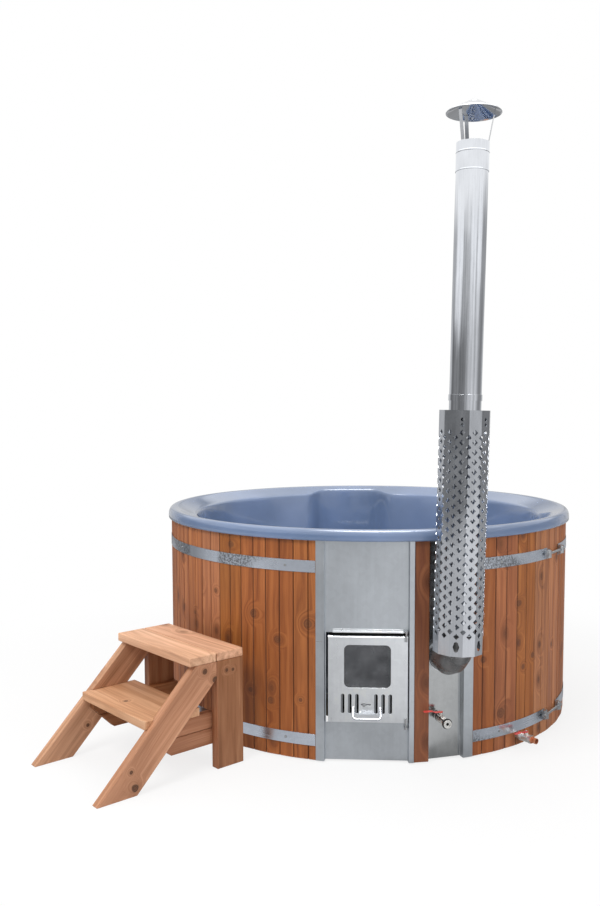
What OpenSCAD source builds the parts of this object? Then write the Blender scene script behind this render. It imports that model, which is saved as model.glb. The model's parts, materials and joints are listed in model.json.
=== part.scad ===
// Wooden hot tub: a moulded shell in a ring of upright boards, a wood-fired
// heater behind a steel panel, a guarded chimney, two ball valves and a step
// stair. Millimetres, +Z up. The origin is on the tub's axis, at the ground.
// The heater faces -Y. Azimuths are degrees from -Y towards +X.

/* [Tub wall] */
// Radius to the outer face of the boards
wall_r = 1000; // [800:10:1200]
// Thickness of a board
board_t = 22; // [18:1:30]
// Wanted width of a board
board_w = 131; // [90:1:160]
// Gap between two boards
board_gap = 0.6; // [0.4:0.1:2]
// Depth of the V groove along the middle of a board
board_groove = 4; // [2:0.5:6]
// Height of the boards' lower ends over the ground
board_foot = 6; // [2:1:20]

/* [Shell] */
// Height of the rim's top
rim_h = 995; // [850:5:1150]
// How far the rim stands out over the boards
rim_over = 16; // [12:1:30]
// Height of the rim's outer lip
lip_h = 48; // [35:1:70]
// Thickness of the moulded shell
shell_t = 6; // [5:0.5:8]
// Width of the sloped headrest band behind each seat
band_w = 58; // [30:1:90]
// How far the headrest band slopes down
band_drop = 22; // [10:1:40]
// Height of the seats over the ground
seat_h = 480; // [350:5:600]
// Distance from the boards' outer face to the footwell between the seats
well_in = 530; // [500:5:560]
// Azimuth of the first of the four gaps between the seats
gap_az = 7; // [0:1:14]
// Half the angle of such a gap
gap_half = 7; // [4:0.5:12]
// Height of the shelf over the heater
shelf_h = 800; // [740:5:860]

/* [Hoops] */
// Height of a hoop band
hoop_h = 50; // [30:1:70]
// Thickness of a hoop band
hoop_t = 1.5; // [1:0.1:3]
// Height of the lower hoop's middle
hoop_low = 93; // [90:1:200]
// Depth of the upper hoop's middle under the rim's top
hoop_drop = 160; // [150:5:300]
// Azimuth of the two tighteners
tight_az = 58.5; // [45:0.5:80]
// Angle between the two lugs of a tightener
tight_angle = 9; // [7:0.5:12]

/* [Heater] */
// Azimuth of the heater panel's middle
heater_az = 0.4; // [-4:0.1:3]
// Half the width of the heater panel
panel_half = 179; // [172:1:182]
// Depth of the heater panel behind the boards' outer face
panel_in = 34; // [28:1:40]
// Sheet thickness of the panels and trims
sheet_t = 1.5; // [1:0.1:2]
// Width of the fire door
door_w = 334; // [300:1:334]
// Shift of the door to the right on its panel
door_x = 3.5; // [0:0.5:3.5]
// Height of the fire door
door_h = 370; // [340:1:400]
// Height of the door's lower edge over the ground
door_z = 174; // [160:1:200]
// Depth of the folded door
door_d = 20; // [18:1:24]
// Width of the window
window_w = 196; // [140:1:220]
// Height of the strip over the window
window_over = 39; // [34:1:60]
// Height of the strip under the window
window_under = 149; // [149:1:200]
// Width of an air slot
slot_w = 15; // [8:0.5:16]
// Height of an air slot
slot_h = 84; // [40:1:90]
// Distance between two air slots
slot_pitch = 30; // [26:0.5:32]
// Height of the stove's top
stove_top = 640; // [600:5:700]

/* [Chimney] */
// Shift of the flue to the left of its panel's middle
flue_left = 8.5; // [0:0.5:9]
// Distance of the chimney's axis from the boards' outer face
flue_out = 119; // [118:1:160]
// Height of the flue's way out of the panel
flue_z = 452; // [420:1:480]
// Outer diameter of the flue pipe
flue_d = 128; // [110:1:130]
// Wall of the flue pipe
flue_t = 1; // [0.8:0.1:2]
// Sideways lean of the chimney in degrees
flue_lean = 1.2; // [0:0.1:2]
// Radius of the elbow's bend
bend_r = 105; // [95:1:112]
// Height of the joint between the two pipes over the guard
joint_over = 52; // [45:1:150]
// Height of the chimney pipe's top over the ground
pipe_top = 2530; // [2100:5:2700]
// Diameter of the rain cap
cap_d = 218; // [200:1:280]
// Height of the rain cap's cone
cap_h = 54; // [30:1:60]
// Width of the chimney guard across its flats
guard_d = 198; // [180:1:202]
// Height of the guard's lower edge over the ground
guard_z = 518; // [510:1:540]
// Height of the guard
guard_h = 968; // [600:1:975]
// Side of a square hole in the guard
guard_hole = 13.5; // [8:0.5:15]
// Height between two rows of holes
guard_pitch = 38.5; // [34:0.5:60]

/* [Valves] */
// Azimuth of the tub's drain valve
drain_az = 42; // [38:0.5:46]
// Height of the tub's drain valve
drain_z = 51; // [50:0.5:52]
// Shift of the heater's drain valve to the left of the flue panel's middle
tap_left = 34; // [18:1:50]
// Height of the heater's drain valve
tap_z = 196; // [185:1:230]
// Outer diameter of the valve's pipe
tap_d = 26; // [22:0.5:28]
// Length of a valve's lever
lever_l = 76; // [60:1:90]

/* [Steps] */
// Height of the upper tread
step_h = 492; // [400:1:560]
// Length of the treads over all
step_w = 565; // [450:1:700]
// Width of one of the two boards of the upper tread
tread_w = 133; // [120:1:145]
// Thickness of the treads
tread_t = 36; // [28:1:45]
// Height of the lower tread
low_tread_h = 272; // [220:1:300]
// Thickness of the strings and the legs
string_t = 40; // [32:1:45]
// Width of the sloped strings
string_w = 124; // [100:1:135]
// Width of the legs
leg_w = 135; // [100:1:140]
// Azimuth at which the steps stand
step_az = -42; // [-60:0.5:-40]
// Turn of the steps on the spot
step_turn = -2.6; // [-6:0.1:6]
// Distance of the steps' back from the boards' outer face
step_out = 70; // [60:1:200]

/* [Hidden] */

$fn = 48;
wood = "#a5623a";
wood_pale = "#b98158";
wood_plain = "#c49a6c";
steel = "#a9afb5";
steel_bright = "#d5dade";
steel_dark = "#6e7276";
shell_blue = "#6f84a8";
lever_red = "#cc3333";
eps = 0.3;          // gap between pieces that seat on each other
running = 0.05;     // radial gap of a shaft in its bore
big = 3000;

// ---- helpers ---------------------------------------------------------------

// A point given in the frame that is turned to an azimuth
function turned(az, x, y) =
    [x * cos(az) - y * sin(az), x * sin(az) + y * cos(az)];
function mix(a, b, t) = a + (b - a) * t;
function smooth(lo, hi, x) =
    let(t = max(0, min(1, (x - lo) / (hi - lo)))) t * t * (3 - 2 * t);
function wrap(a) = a - 360 * floor((a + 180) / 360);

module at_az(az) rotate([0, 0, az]) children();
// Upright plate: a flat outline in X and Z, its front face at y = -front
module plate(front, t) translate([0, t - front, 0]) rotate([90, 0, 0])
    linear_extrude(t) children();
module round_square(w, h, r) translate([-w / 2, -h / 2]) {
    translate([r, 0]) square([w - 2 * r, h]);
    translate([0, r]) square([w, h - 2 * r]);
    for (x = [r, w - r], y = [r, h - r]) translate([x, y]) circle(r);
}
// Bar along -Y from radius r0 to r1
module radial_rod(r0, r1, r, z = 0) translate([0, -r0, z])
    rotate([90, 0, 0]) cylinder(r = r, h = r1 - r0);
module tube(r, t, h) difference() {
    cylinder(r = r, h = h);
    translate([0, 0, -1]) cylinder(r = r - t, h = h + 2);
}

// ---- wall of boards --------------------------------------------------------

trim_w = 36.66;                                   // width of the left trim
trim_angle = 2 * atan(trim_w / 2 / wall_r);
heater_half = asin(panel_half / wall_r);
trim_left_az = heater_az - heater_half - trim_angle / 2;
wall_end = trim_left_az - trim_angle / 2 + 0.4;   // under the left trim
front_board_w = 68.05;                            // board between the two panels
front_board_side = heater_az + asin((panel_half + 15.24) / wall_r);
front_board_az = [front_board_side,
    front_board_side + 2 * asin(front_board_w / 2 / wall_r)];
flue_front = wall_r - 26;
flue_half = 76;
flue_panel_half = asin((flue_half + 0.42) / flue_front);
flue_panel_az = front_board_az[1] + flue_panel_half;
flue_trim_w = 45.4;
flue_trim_az = [flue_panel_az + flue_panel_half,
    flue_panel_az + flue_panel_half + 2 * atan(flue_trim_w / 2 / wall_r)];
flue_az = flue_panel_az - atan(flue_left / flue_front);
tap_az = flue_panel_az - atan(tap_left / flue_front);
wall_start = flue_trim_az[1] - 0.5;               // under the right trim
cut_left = 6.13;                                  // angle of the cut board there
cut_right = 7.18;
full_arc = 360 + wall_end - cut_left - wall_start - cut_right;
board_n = round(full_arc / (2 * atan(board_w / 2 / wall_r)));
board_a = full_arc / board_n;
first_joint = wall_start + cut_right;
board_in = wall_r - board_t;
corner_r = wall_r / cos(board_a / 2);             // outermost edge of a board
board_top = rim_h - shell_t - 0.8;
tongue_t = 6;
tongue_l = 6;

// Outline of the board between two azimuths, with or without its joints
module board_outline(a0, a1, groove_az, tongue, slot) {
    half = (a1 - a0) / 2;
    out = wall_r * tan(half) - board_gap / 2;
    inn = board_in * tan(half) - board_gap / 2;
    mid_r = wall_r - board_t / 2;
    rotate((a0 + a1) / 2) difference() {
        union() {
            polygon([[-out, -wall_r], [out, -wall_r], [inn, -board_in],
                [-inn, -board_in]]);
            if (tongue) rotate(half)
                translate([-2, -mid_r - tongue_t / 2])
                    square([tongue_l + 2, tongue_t]);
        }
        if (slot) rotate(-half)
            translate([-1, -mid_r - tongue_t / 2 - eps])
                square([tongue_l + 2, tongue_t + 2 * eps]);
        for (s = [-1, 1]) translate([s * (out + 0.5), -wall_r])
            circle(r = board_groove, $fn = 4);
        rotate(groove_az - (a0 + a1) / 2) translate([0, -wall_r])
            circle(r = board_groove, $fn = 4);
    }
}
module board(a0, a1, groove_az, tongue = true, slot = true)
    translate([0, 0, board_foot]) linear_extrude(board_top - board_foot)
        board_outline(a0, a1, groove_az, tongue, slot);

drain_hole_r = tap_d / 2 + 2;
module wall_boards() color(wood) difference() {
    union() {
        board(wall_start, first_joint, first_joint - board_a / 2, true, false);
        for (i = [0 : board_n - 1])
            let(a = first_joint + i * board_a)
                board(a, a + board_a, a + board_a / 2);
        board(wall_end - cut_left, wall_end, wall_end - cut_left + board_a / 2,
            false, true);
    }
    at_az(drain_az) radial_rod(board_in - 9, wall_r + 9, drain_hole_r, drain_z);
}
module front_board() color(wood)
    board(front_board_az[0], front_board_az[1], front_board_az[0] - 1,
        false, false);

// ---- base and frame --------------------------------------------------------

flat_t = 28;        // boards laid flat on the ground
flat_w = 120;
flat_at = [-560, 0, 560];         // distances of the flat boards from the middle
joist_t = 45;
joist_h = 67;
base_h = flat_t + joist_h;
base_r = board_in - 20;
joist_at = [130, 440, 750];       // distances of the joists from the middle
frame_t = 30;                     // depth and height of rings and posts
ring_r = board_in - eps;
ring_z = [base_h, rim_h - 65];
post_n = 10;
post_w = 45;
stud_az = [trim_left_az - 1.3, (front_board_az[0] + front_board_az[1]) / 2,
    flue_trim_az[1] + 1.3];
stud_w = 40;

function chord(d) = 2 * sqrt(base_r * base_r - d * d);

// Three boards flat on the ground, across the joists
module base_boards() color(wood_plain) at_az(drain_az)
    for (y = flat_at) translate([0, y, flat_t / 2])
        cube([chord(abs(y) + flat_w / 2), flat_w, flat_t], center = true);
// Joists that run towards the drain valve, either side of its pipe
module base_joists() color(wood_plain) at_az(drain_az)
    for (s = [-1, 1], d = joist_at) translate([s * d, 0, flat_t + joist_h / 2])
        cube([joist_t, chord(d + joist_t / 2), joist_h], center = true);
// Plywood rings inside the boards, open at the heater
module frame_rings() color(wood_plain) for (z = ring_z)
    translate([0, 0, z]) rotate(stud_az[2] + 1.5 - 90)
        rotate_extrude(angle = 360 + stud_az[0] - stud_az[2] - 3, $fn = 96)
            translate([ring_r - frame_t, 0]) square([frame_t, frame_t]);
module post(az, w, z0, z1) at_az(az)
    translate([-w / 2, -ring_r, z0]) cube([w, frame_t, z1 - z0]);
// Posts between the rings, and full-height studs beside the two panels
module frame_posts() color(wood_plain) {
    for (i = [0 : post_n - 1])
        post(stud_az[2] + (i + 0.6) * (360 - stud_az[2] + stud_az[0]) / post_n,
            post_w, ring_z[0] + frame_t, ring_z[1]);
    for (a = stud_az) post(a, stud_w, base_h, ring_z[1] + frame_t);
}

// ---- moulded shell ---------------------------------------------------------

shell_n = 84;                     // steps round the shell
rim_r = wall_r + rim_over;
well_r = wall_r - well_in;
floor_z = base_h + shell_t + eps; // inside face of the floor
top_r = ring_r - frame_t - shell_t - 11;
bulk_az = 5.5;                    // middle of the heater's compartment
bulk_half = 30;
ramp = 8;                         // angle over which the forms blend
foot_in = 28;                     // how far the footwell's wall slopes in
foot_up = 22;                     // height of its rounded foot

function seat_part(az) =
    smooth(gap_half, gap_half + ramp,
        min([for (k = [0 : 3]) abs(wrap(az - gap_az - 90 * k))]));
function bulk_part(az) =
    1 - smooth(bulk_half, bulk_half + ramp, abs(wrap(az - bulk_az)));

// Section of the visible face at an azimuth, from the lip's lower edge over
// the rim and down to the floor, as [radius, height]
function section(az) = let(
    s = seat_part(az),
    b = bulk_part(az),
    rt = top_r - band_w * s,
    zt = rim_h - 16 - band_drop * s,
    back_r = rt - 40 - 30 * s,
    in_r = mix(back_r - 60, well_r, max(s, b)),
    zs = mix(seat_h, shelf_h, b),
    foot_r = in_r - foot_in)
    [[rim_r, rim_h - lip_h], [rim_r, rim_h - 18], [rim_r - 4, rim_h - 7],
     [rim_r - 13, rim_h], [rim_r - 38, rim_h], [rim_r - 54, rim_h - 5],
     [rt + 16, zt + 3], [rt + 5, zt], [rt - 1, zt - 8], [rt - 5, zt - 24],
     [mix(rt - 5, back_r, 0.5), mix(zt - 24, zs + 60, 0.5)],
     [back_r + 4, zs + 40], [back_r - 3, zs + 12], [back_r - 16, zs + 1],
     [in_r + 26, zs - 3], [in_r + 8, zs - 8], [in_r, zs - 24],
     [foot_r, floor_z + foot_up], [foot_r - 7, floor_z + 7],
     [foot_r - 22, floor_z + 1], [120, floor_z]];
function face_point(i, j) = let(az = i * 360 / shell_n, p = section(az)[j])
    [p[0] * sin(az), -p[0] * cos(az), p[1]];
function unit(v) = v / norm(v);
// Direction from the shell's wall into the water at a grid point
function inward(i, j, last) = unit(cross(
    face_point(i + 1, j) - face_point(i - 1, j),
    face_point(i, min(j + 1, last)) - face_point(i, max(j - 1, 0))));

module shell() {
    n = shell_n;
    m = len(section(0));
    face = [for (j = [0 : m - 1], i = [0 : n - 1]) face_point(i, j)];
    back = [for (j = [0 : m - 1], i = [0 : n - 1])
        face_point(i, j) - shell_t * inward(i, j, m - 1)];
    off = n * m;
    poles = [[0, 0, floor_z], [0, 0, floor_z - shell_t]];
    pole = 2 * off;
    quads = [for (j = [0 : m - 2], i = [0 : n - 1])
        let(k = (i + 1) % n)
            [j * n + i, j * n + k, (j + 1) * n + k, (j + 1) * n + i]];
    tail = (m - 1) * n;
    color(shell_blue) polyhedron(
        points = concat(face, back, poles),
        faces = concat(
            [for (q = quads) each [[q[0], q[3], q[2]], [q[0], q[2], q[1]]]],
            [for (q = quads) each [
                [off + q[0], off + q[1], off + q[2]],
                [off + q[0], off + q[2], off + q[3]]]],
            [for (i = [0 : n - 1]) let(k = (i + 1) % n) each [
                [i, k, off + k], [i, off + k, off + i],
                [tail + k, tail + i, pole],
                [off + tail + i, off + tail + k, pole + 1]]]));
}

// ---- hoops -----------------------------------------------------------------

hoop_r = corner_r + eps;
hoop_high = rim_h - hoop_drop;
hoop_end = [flue_trim_az[1] + 0.1, 360 + trim_left_az - trim_angle / 2 - 0.1];
lug_az = [tight_az - tight_angle / 2, tight_az + tight_angle / 2];
lug_r = 13;                       // rounded barrel of a lug
lug_l = 34;
lug_out = hoop_r + hoop_t + lug_r - 1;
bolt_r = 6;
bolt_out = 24;                    // how far a bolt reaches past its lugs

module band(z) translate([0, 0, z - hoop_h / 2])
    for (part = [[hoop_end[0], lug_az[0] + 0.6], [lug_az[1] - 0.6, hoop_end[1]]])
        rotate(part[0] - 90) rotate_extrude(angle = part[1] - part[0], $fn = 96)
            translate([hoop_r, 0]) square([hoop_t, hoop_h]);
module hoop_upper() color(steel) band(hoop_high);
module hoop_lower() color(steel) band(hoop_low);

// Upright barrel on a foot plate, cross-drilled for the bolt
module hoop_lug(az, z) difference() {
    at_az(az) translate([0, 0, z]) {
        translate([0, -lug_out - 1, -lug_l / 2]) cylinder(r = lug_r, h = lug_l);
        translate([-lug_r, -lug_out - 1, -hoop_h / 2 + 4])
            cube([2 * lug_r, lug_out + 1 - hoop_r - hoop_t - eps, hoop_h - 8]);
    }
    along_bolt(z) translate([0, 0, -big / 2]) cylinder(r = bolt_r + eps, h = big);
}
// Frame with its Z along the bolt, its origin half way between the lugs
module along_bolt(z) at_az(tight_az)
    translate([0, -(lug_out + 1) * cos(tight_angle / 2), z]) rotate([0, 90, 0])
        children();
module hoop_lugs() color(steel_bright)
    for (z = [hoop_low, hoop_high], a = lug_az) hoop_lug(a, z);
module hoop_bolts() color(steel_bright) for (z = [hoop_low, hoop_high])
    along_bolt(z) {
        half = (lug_out + 1) * sin(tight_angle / 2) + bolt_out;
        translate([0, 0, -half]) cylinder(r = bolt_r, h = 2 * half);
        for (s = [-1, 1]) translate([0, 0, s * (half - bolt_out + lug_r + eps + 4.5)])
            cylinder(r = 11, h = 9, center = true, $fn = 6);
    }
screw_az = [trim_left_az - 8.8, 35.3, 120, 180, 240, 300];
module hoop_screws() color(steel_bright)
    for (z = [hoop_low, hoop_high], a = screw_az) at_az(a) {
        radial_rod(board_in + 6, hoop_r - eps, 2.5, z);
        radial_rod(hoop_r + hoop_t, hoop_r + hoop_t + 2.5, 5.5, z);
    }

// ---- steel panels and trims ------------------------------------------------

panel_front = wall_r - panel_in;
panel_z = [8, board_top - 8];
cut_x = [door_x - door_w / 2 - 9, door_x + door_w / 2 + 2.5];
cut_z = [door_z - 4, door_z + door_h + 12];
trim_front = corner_r + eps + hoop_t;
flange = 18;                      // folded edge of the panels

module heater_panel() color(steel) at_az(heater_az) {
    plate(panel_front, sheet_t) difference() {
        translate([-panel_half, panel_z[0]])
            square([2 * panel_half, panel_z[1] - panel_z[0]]);
        translate([cut_x[0], cut_z[0]])
            square([cut_x[1] - cut_x[0], cut_z[1] - cut_z[0]]);
    }
    for (s = [0, 1]) mirror([s, 0, 0])
        translate([panel_half - sheet_t, -panel_front, panel_z[0]])
            cube([sheet_t, flange, panel_z[1] - panel_z[0]]);
}
// Folded strip from azimuth a0 to a1, with a leg back to a depth at one side
module trim(a0, a1, leg_side, leg_back, z0, z1) {
    half = trim_front * tan((a1 - a0) / 2);
    at_az((a0 + a1) / 2) {
        translate([-half, -trim_front, z0]) cube([2 * half, sheet_t, z1 - z0]);
        translate([leg_side > 0 ? half - sheet_t : -half, -trim_front, z0])
            cube([sheet_t, leg_back, z1 - z0]);
    }
}
trim_z = [board_foot, board_top - 2];
trim_seam = 519;                  // joint of the left trim's two lengths
panel_leg = trim_front - panel_front / cos(heater_half) - eps;
module heater_trim_left() color(steel)
    for (z = [[trim_z[0], trim_seam - 0.5], [trim_seam + 0.5, trim_z[1]]])
        trim(trim_left_az - trim_angle / 2, trim_left_az + trim_angle / 2, 1,
            panel_leg, z[0], z[1]);
module heater_trim_right() color(steel)
    trim(heater_az + heater_half - 0.2, front_board_az[0] + 0.1, -1, panel_leg,
        trim_z[0], trim_z[1]);
module flue_panel() color(steel) at_az(flue_panel_az) difference() {
    union() {
        plate(flue_front, sheet_t) translate([-flue_half, panel_z[0]])
            square([2 * flue_half, panel_z[1] - panel_z[0]]);
        for (s = [0, 1]) mirror([s, 0, 0])
            translate([flue_half - sheet_t, -flue_front, panel_z[0]])
                cube([sheet_t, flange, panel_z[1] - panel_z[0]]);
    }
    at_az(flue_az - flue_panel_az)
        radial_rod(flue_front - 30, flue_front + 30, flue_d / 2 + 2, flue_z);
    at_az(tap_az - flue_panel_az)
        radial_rod(flue_front - 30, flue_front + 30, tap_d / 2 + 2, tap_z);
}
module flue_trim() color(steel)
    trim(flue_trim_az[0], flue_trim_az[1], -1,
        trim_front - flue_front / cos(flue_panel_half) - eps, trim_z[0], trim_z[1]);
// Folded lip over the door's opening
lip_l = 296;
module drip_lip() color(steel_bright) at_az(heater_az)
    translate([door_x - lip_l / 2, -panel_front, cut_z[1]]) {
        translate([0, -12, 5]) cube([lip_l, 12, sheet_t]);
        translate([0, -sheet_t, 5]) cube([lip_l, sheet_t, 10]);
        translate([0, -12, 1]) cube([lip_l, sheet_t, 5]);
    }

// ---- stove -----------------------------------------------------------------

stove_z = base_h + 35;
stove_half = 160;
stove_front = panel_front - 22;
stove_depth = 424;
stove_back = stove_front - stove_depth;
duct_front = flue_front - 44;     // front of the smoke box at the flue
duct_depth = 330;
duct_back = duct_front - duct_depth;
duct_half = 84;
stove_t = 5;
mouth_half = 145;
mouth_z = [door_z + 18, door_z + door_h - 18];

// Plan of the stove: the firebox, and the smoke box turned to the flue
module stove_plan(in) {
    at_az(heater_az) translate([-stove_half + in, -stove_front + in])
        square([2 * (stove_half - in), stove_front - stove_back - 2 * in]);
    at_az(flue_az) translate([-duct_half + in, -duct_front + in])
        square([2 * (duct_half - in), duct_front - duct_back - 2 * in]);
}
module mouth(front, back, grow) at_az(heater_az)
    translate([-mouth_half - grow, -front, mouth_z[0] - grow])
        cube([2 * (mouth_half + grow), front - back,
            mouth_z[1] - mouth_z[0] + 2 * grow]);
module stove_body() color(steel_dark) difference() {
    translate([0, 0, stove_z]) linear_extrude(stove_top - stove_z) stove_plan(0);
    translate([0, 0, stove_z + stove_t])
        linear_extrude(stove_top - stove_z - 2 * stove_t) stove_plan(stove_t);
    mouth(stove_front + 1, stove_front - 20, 0);
    at_az(flue_az) radial_rod(duct_front - 20, duct_front + 20, flue_d / 2 - flue_t, flue_z);
}
mouth_front = panel_front + 12 - door_d - eps;
module stove_mouth() color(steel_dark) difference() {
    mouth(mouth_front, stove_front, 3);
    mouth(mouth_front + 1, stove_front - 1, 0);
}
grate_z = mouth_z[0] - 2;
grate_half = 130;                 // half the grate's width
grate_l = 240;                    // length of its bars
grate_bar = 12;
grate_h = 14;
grate_front = stove_front - 80;
module stove_grate() color("#3a3a3c") at_az(heater_az) {
    for (i = [-5 : 5])
        translate([i * 2 * grate_bar - grate_bar / 2, -grate_front, grate_z])
            cube([grate_bar, grate_l, grate_h]);
    for (y = [0, grate_l - 10]) translate([0, -grate_front + y, 0]) {
        translate([-grate_half, 0, grate_z]) cube([2 * grate_half, 10, grate_h]);
        for (x = [-grate_half, grate_half - grate_bar])
            translate([x, 0, stove_z + stove_t])
                cube([grate_bar, 10, grate_z - stove_z - stove_t]);
    }
}
module stove_rails() color(steel_dark) at_az(heater_az)
    for (y = [stove_back + 60, stove_front - 100])
        translate([-stove_half, -y, base_h]) cube([2 * stove_half, 40, stove_z - base_h]);

// ---- water connections -----------------------------------------------------

// Radius of the footwell's wall at a height, in front of the compartment
function well_at(z) = mix(well_r - foot_in, well_r,
    (z - floor_z - foot_up) / (shelf_h - 24 - floor_z - foot_up));
// Two short pipes through the compartment's wall, cold below and hot above
fitting_up = 120;                 // lower pipe over the stove's underside
fitting_down = 50;                // upper pipe under the stove's top
fitting_r = 19;
fitting_z = [stove_z + fitting_up, stove_top - fitting_down];
module water_fittings() color(steel_bright) for (z = fitting_z) difference() {
    union() {
        radial_rod(well_at(z) - 6, stove_back - eps, fitting_r, z);
        radial_rod(well_at(z) - 8, well_at(z) + 1.5, fitting_r + 13, z);
    }
    radial_rod(well_at(z) - 9, stove_back - 4, fitting_r - 4, z);
}
module floor_drain() color(steel_bright) {
    difference() {
        translate([0, 0, floor_z]) cylinder(r = 44, h = 3);
        for (i = [0 : 7]) rotate(i * 45) translate([26, 0, floor_z - 1])
            cylinder(r = 5, h = 5);
    }
    translate([0, 0, drain_z - 22]) cylinder(r = 20, h = floor_z - drain_z + 22);
}
pipe_r = tap_d / 2;
module drain_pipe() color("#c9ccd0") at_az(drain_az) difference() {
    radial_rod(12, wall_r + 4, pipe_r, drain_z);
    radial_rod(24, wall_r + 5, pipe_r - 3, drain_z);
}

// ---- chimney ---------------------------------------------------------------

pipe_or = flue_d / 2;
flue_r = wall_r + flue_out;       // distance of the chimney's axis
tube_start = bend_r + 26;         // where the straight pipe starts, over flue_z
far = 400;

// Frame of the chimney: turned to the flue, leaning about the flue's way out
module on_flue() at_az(flue_az) translate([0, 0, flue_z])
    rotate([0, flue_lean, 0]) children();
// Frame on the chimney's axis, Z from the height of the flue's way out
module on_chimney() on_flue() translate([0, -flue_r, 0]) children();

bend_y = flue_r - bend_r;         // radius of the bend's centre
elbow_in = duct_front + eps;

// Points of a cross-section of the elbow: its two ends and its mitred seams
elbow_n = 60;                     // points round the pipe
mitre = [11.25, 33.75, 56.25, 78.75];
function elbow_ring(k, r) = [for (i = [0 : elbow_n - 1]) let(
    x = r * cos(i * 360 / elbow_n),
    q = bend_r + r * sin(i * 360 / elbow_n),
    d = q / cos(mitre[0]))
    k == 0 ? [x, -elbow_in, bend_r - q]
    : k == 5 ? [x, -bend_y - q, tube_start + 4]
    : [x, -bend_y - d * sin(mitre[k - 1]), bend_r - d * cos(mitre[k - 1])]];
// Elbow of three gores between two straight ends, open at both ends
module flue_elbow() color(steel) on_flue() {
    n = elbow_n;
    outer = [for (k = [0 : 5]) each elbow_ring(k, pipe_or)];
    inner = [for (k = [0 : 5]) each elbow_ring(k, pipe_or - flue_t)];
    off = 6 * n;
    polyhedron(points = concat(outer, inner), faces = concat(
        [for (k = [0 : 4], i = [0 : n - 1]) let(a = k * n + i, b = k * n + (i + 1) % n)
            each [[a, b + n, b], [a, a + n, b + n],
                [off + a, off + b, off + b + n], [off + a, off + b + n, off + a + n]]],
        [for (i = [0 : n - 1]) let(a = i, b = (i + 1) % n, c = 5 * n) each [
            [a, b, off + b], [a, off + b, off + a],
            [c + a, off + c + b, c + b], [c + a, off + c + a, off + c + b]]]));
}

rosette_w = 3.2;
rosette_l = 9;
module flue_rosette() color(steel_bright) at_az(flue_panel_az)
    translate([flue_front * tan(flue_az - flue_panel_az), 0, 0]) difference() {
        radial_rod(flue_front, flue_front + rosette_l, pipe_or + rosette_w, flue_z);
        radial_rod(flue_front - 1, flue_front + rosette_l + 1, pipe_or + 0.8, flue_z);
    }
lower_top = guard_z + guard_h + joint_over - flue_z;
module flue_pipe_lower() color(steel_bright) on_chimney()
    translate([0, 0, tube_start + 4 + eps])
        tube(pipe_or, flue_t, lower_top - tube_start - 4 - eps);
module flue_joint_ring() color(steel_bright) on_chimney()
    translate([0, 0, lower_top - 14]) tube(pipe_or + eps + 2.5, 2.5, 24);
upper_top = pipe_top - flue_z;
module flue_pipe_upper() color(steel_bright) on_chimney()
    translate([0, 0, lower_top + eps]) tube(pipe_or, flue_t, upper_top - lower_top - 8);

collar_h = 112;
collar_z = upper_top - collar_h;
module rain_cap_collar() color(steel_bright) on_chimney() translate([0, 0, collar_z])
    rotate_extrude($fn = 72) translate([pipe_or + eps, 0]) polygon([
        [0, 0], [1.6, 0], [1.6, 3], [1, 5], [1, 70], [1.8, 72], [1.8, 75],
        [1, 77], [1, collar_h], [0, collar_h]]);
cap_z = upper_top + 116;          // rim of the rain cap
cap_leg = (cap_z - upper_top + cap_h * (1 - (pipe_or + 19) / (cap_d / 2)));
leg_in = pipe_or - flue_t - 2.3;
module rain_cap_legs() color(steel_bright) on_chimney()
    for (a = [85, 205, 325]) rotate(a) translate([leg_in, 0, upper_top])
        rotate([90, 0, 0]) linear_extrude(16, center = true) polygon([
            [0, -26], [1.5, -26], [1.5, 3], [1.5 + cap_leg * sin(10), cap_leg],
            [cap_leg * sin(10), cap_leg], [0, 3]]);
cap_slope = cap_h / (cap_d / 2);
module rain_cap() color(steel) on_chimney() translate([0, 0, cap_z])
    rotate_extrude($fn = 72) polygon([
        [0, cap_h], [cap_d / 2 - 4, cap_h - cap_slope * (cap_d / 2 - 4)],
        [cap_d / 2, -2], [cap_d / 2, 0],
        [cap_d / 2 - 4, cap_h - cap_slope * (cap_d / 2 - 4) + 2],
        [0, cap_h + 2]]);

guard_t = 1.5;
guard_rows = floor((guard_h - 168) / guard_pitch);
guard_hole_z = 112;               // lowest hole's middle over the guard's foot
key_w = 9;                        // half widths and lengths of the fixing slots
module hole_cut(size) rotate([0, 90, 0]) rotate(45)
    translate([-size / 2, -size / 2, 0]) cube([size, size, guard_d]);
// Twelve-sided folded sheet with staggered square holes, a hole on each fold
// and one on each face, with slots for its fixings near both ends
module chimney_guard() color(steel_bright) on_chimney()
    translate([0, 0, guard_z - flue_z]) difference() {
        linear_extrude(guard_h) difference() {
            rotate(15) circle(d = guard_d / cos(15), $fn = 12);
            rotate(15) circle(d = (guard_d - 2 * guard_t) / cos(15), $fn = 12);
        }
        for (c = [0 : 23], r = [0 : guard_rows - 1])
            translate([0, 0, guard_hole_z + (r + (c % 2) / 2) * guard_pitch])
                rotate(c * 15) hole_cut(guard_hole);
        for (a = [240, 300, 60, 120]) rotate(a) {
            for (z = [22, 48]) translate([0, 0, z]) rotate([0, 90, 0])
                cylinder(r = key_w, h = guard_d, $fn = 24);
            translate([0, -key_w, 22]) cube([guard_d, 2 * key_w, 26]);
            for (z = [guard_h - 26, guard_h - 48]) translate([0, 0, z])
                rotate([0, 90, 0]) cylinder(r = key_w, h = guard_d, $fn = 24);
        }
    }
spacer_z = [70, guard_h - 66];
module guard_spacers() color(steel) on_chimney() for (z = spacer_z)
    translate([0, 0, guard_z - flue_z + z]) {
        tube(pipe_or + eps + 2, 2, 22);
        for (a = [30, 150, 270]) rotate(a) translate([pipe_or + 1, -7, 4])
            cube([guard_d / 2 - guard_t - pipe_or - 1 - eps, 14, 2]);
    }

// ---- ball valves -----------------------------------------------------------

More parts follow.
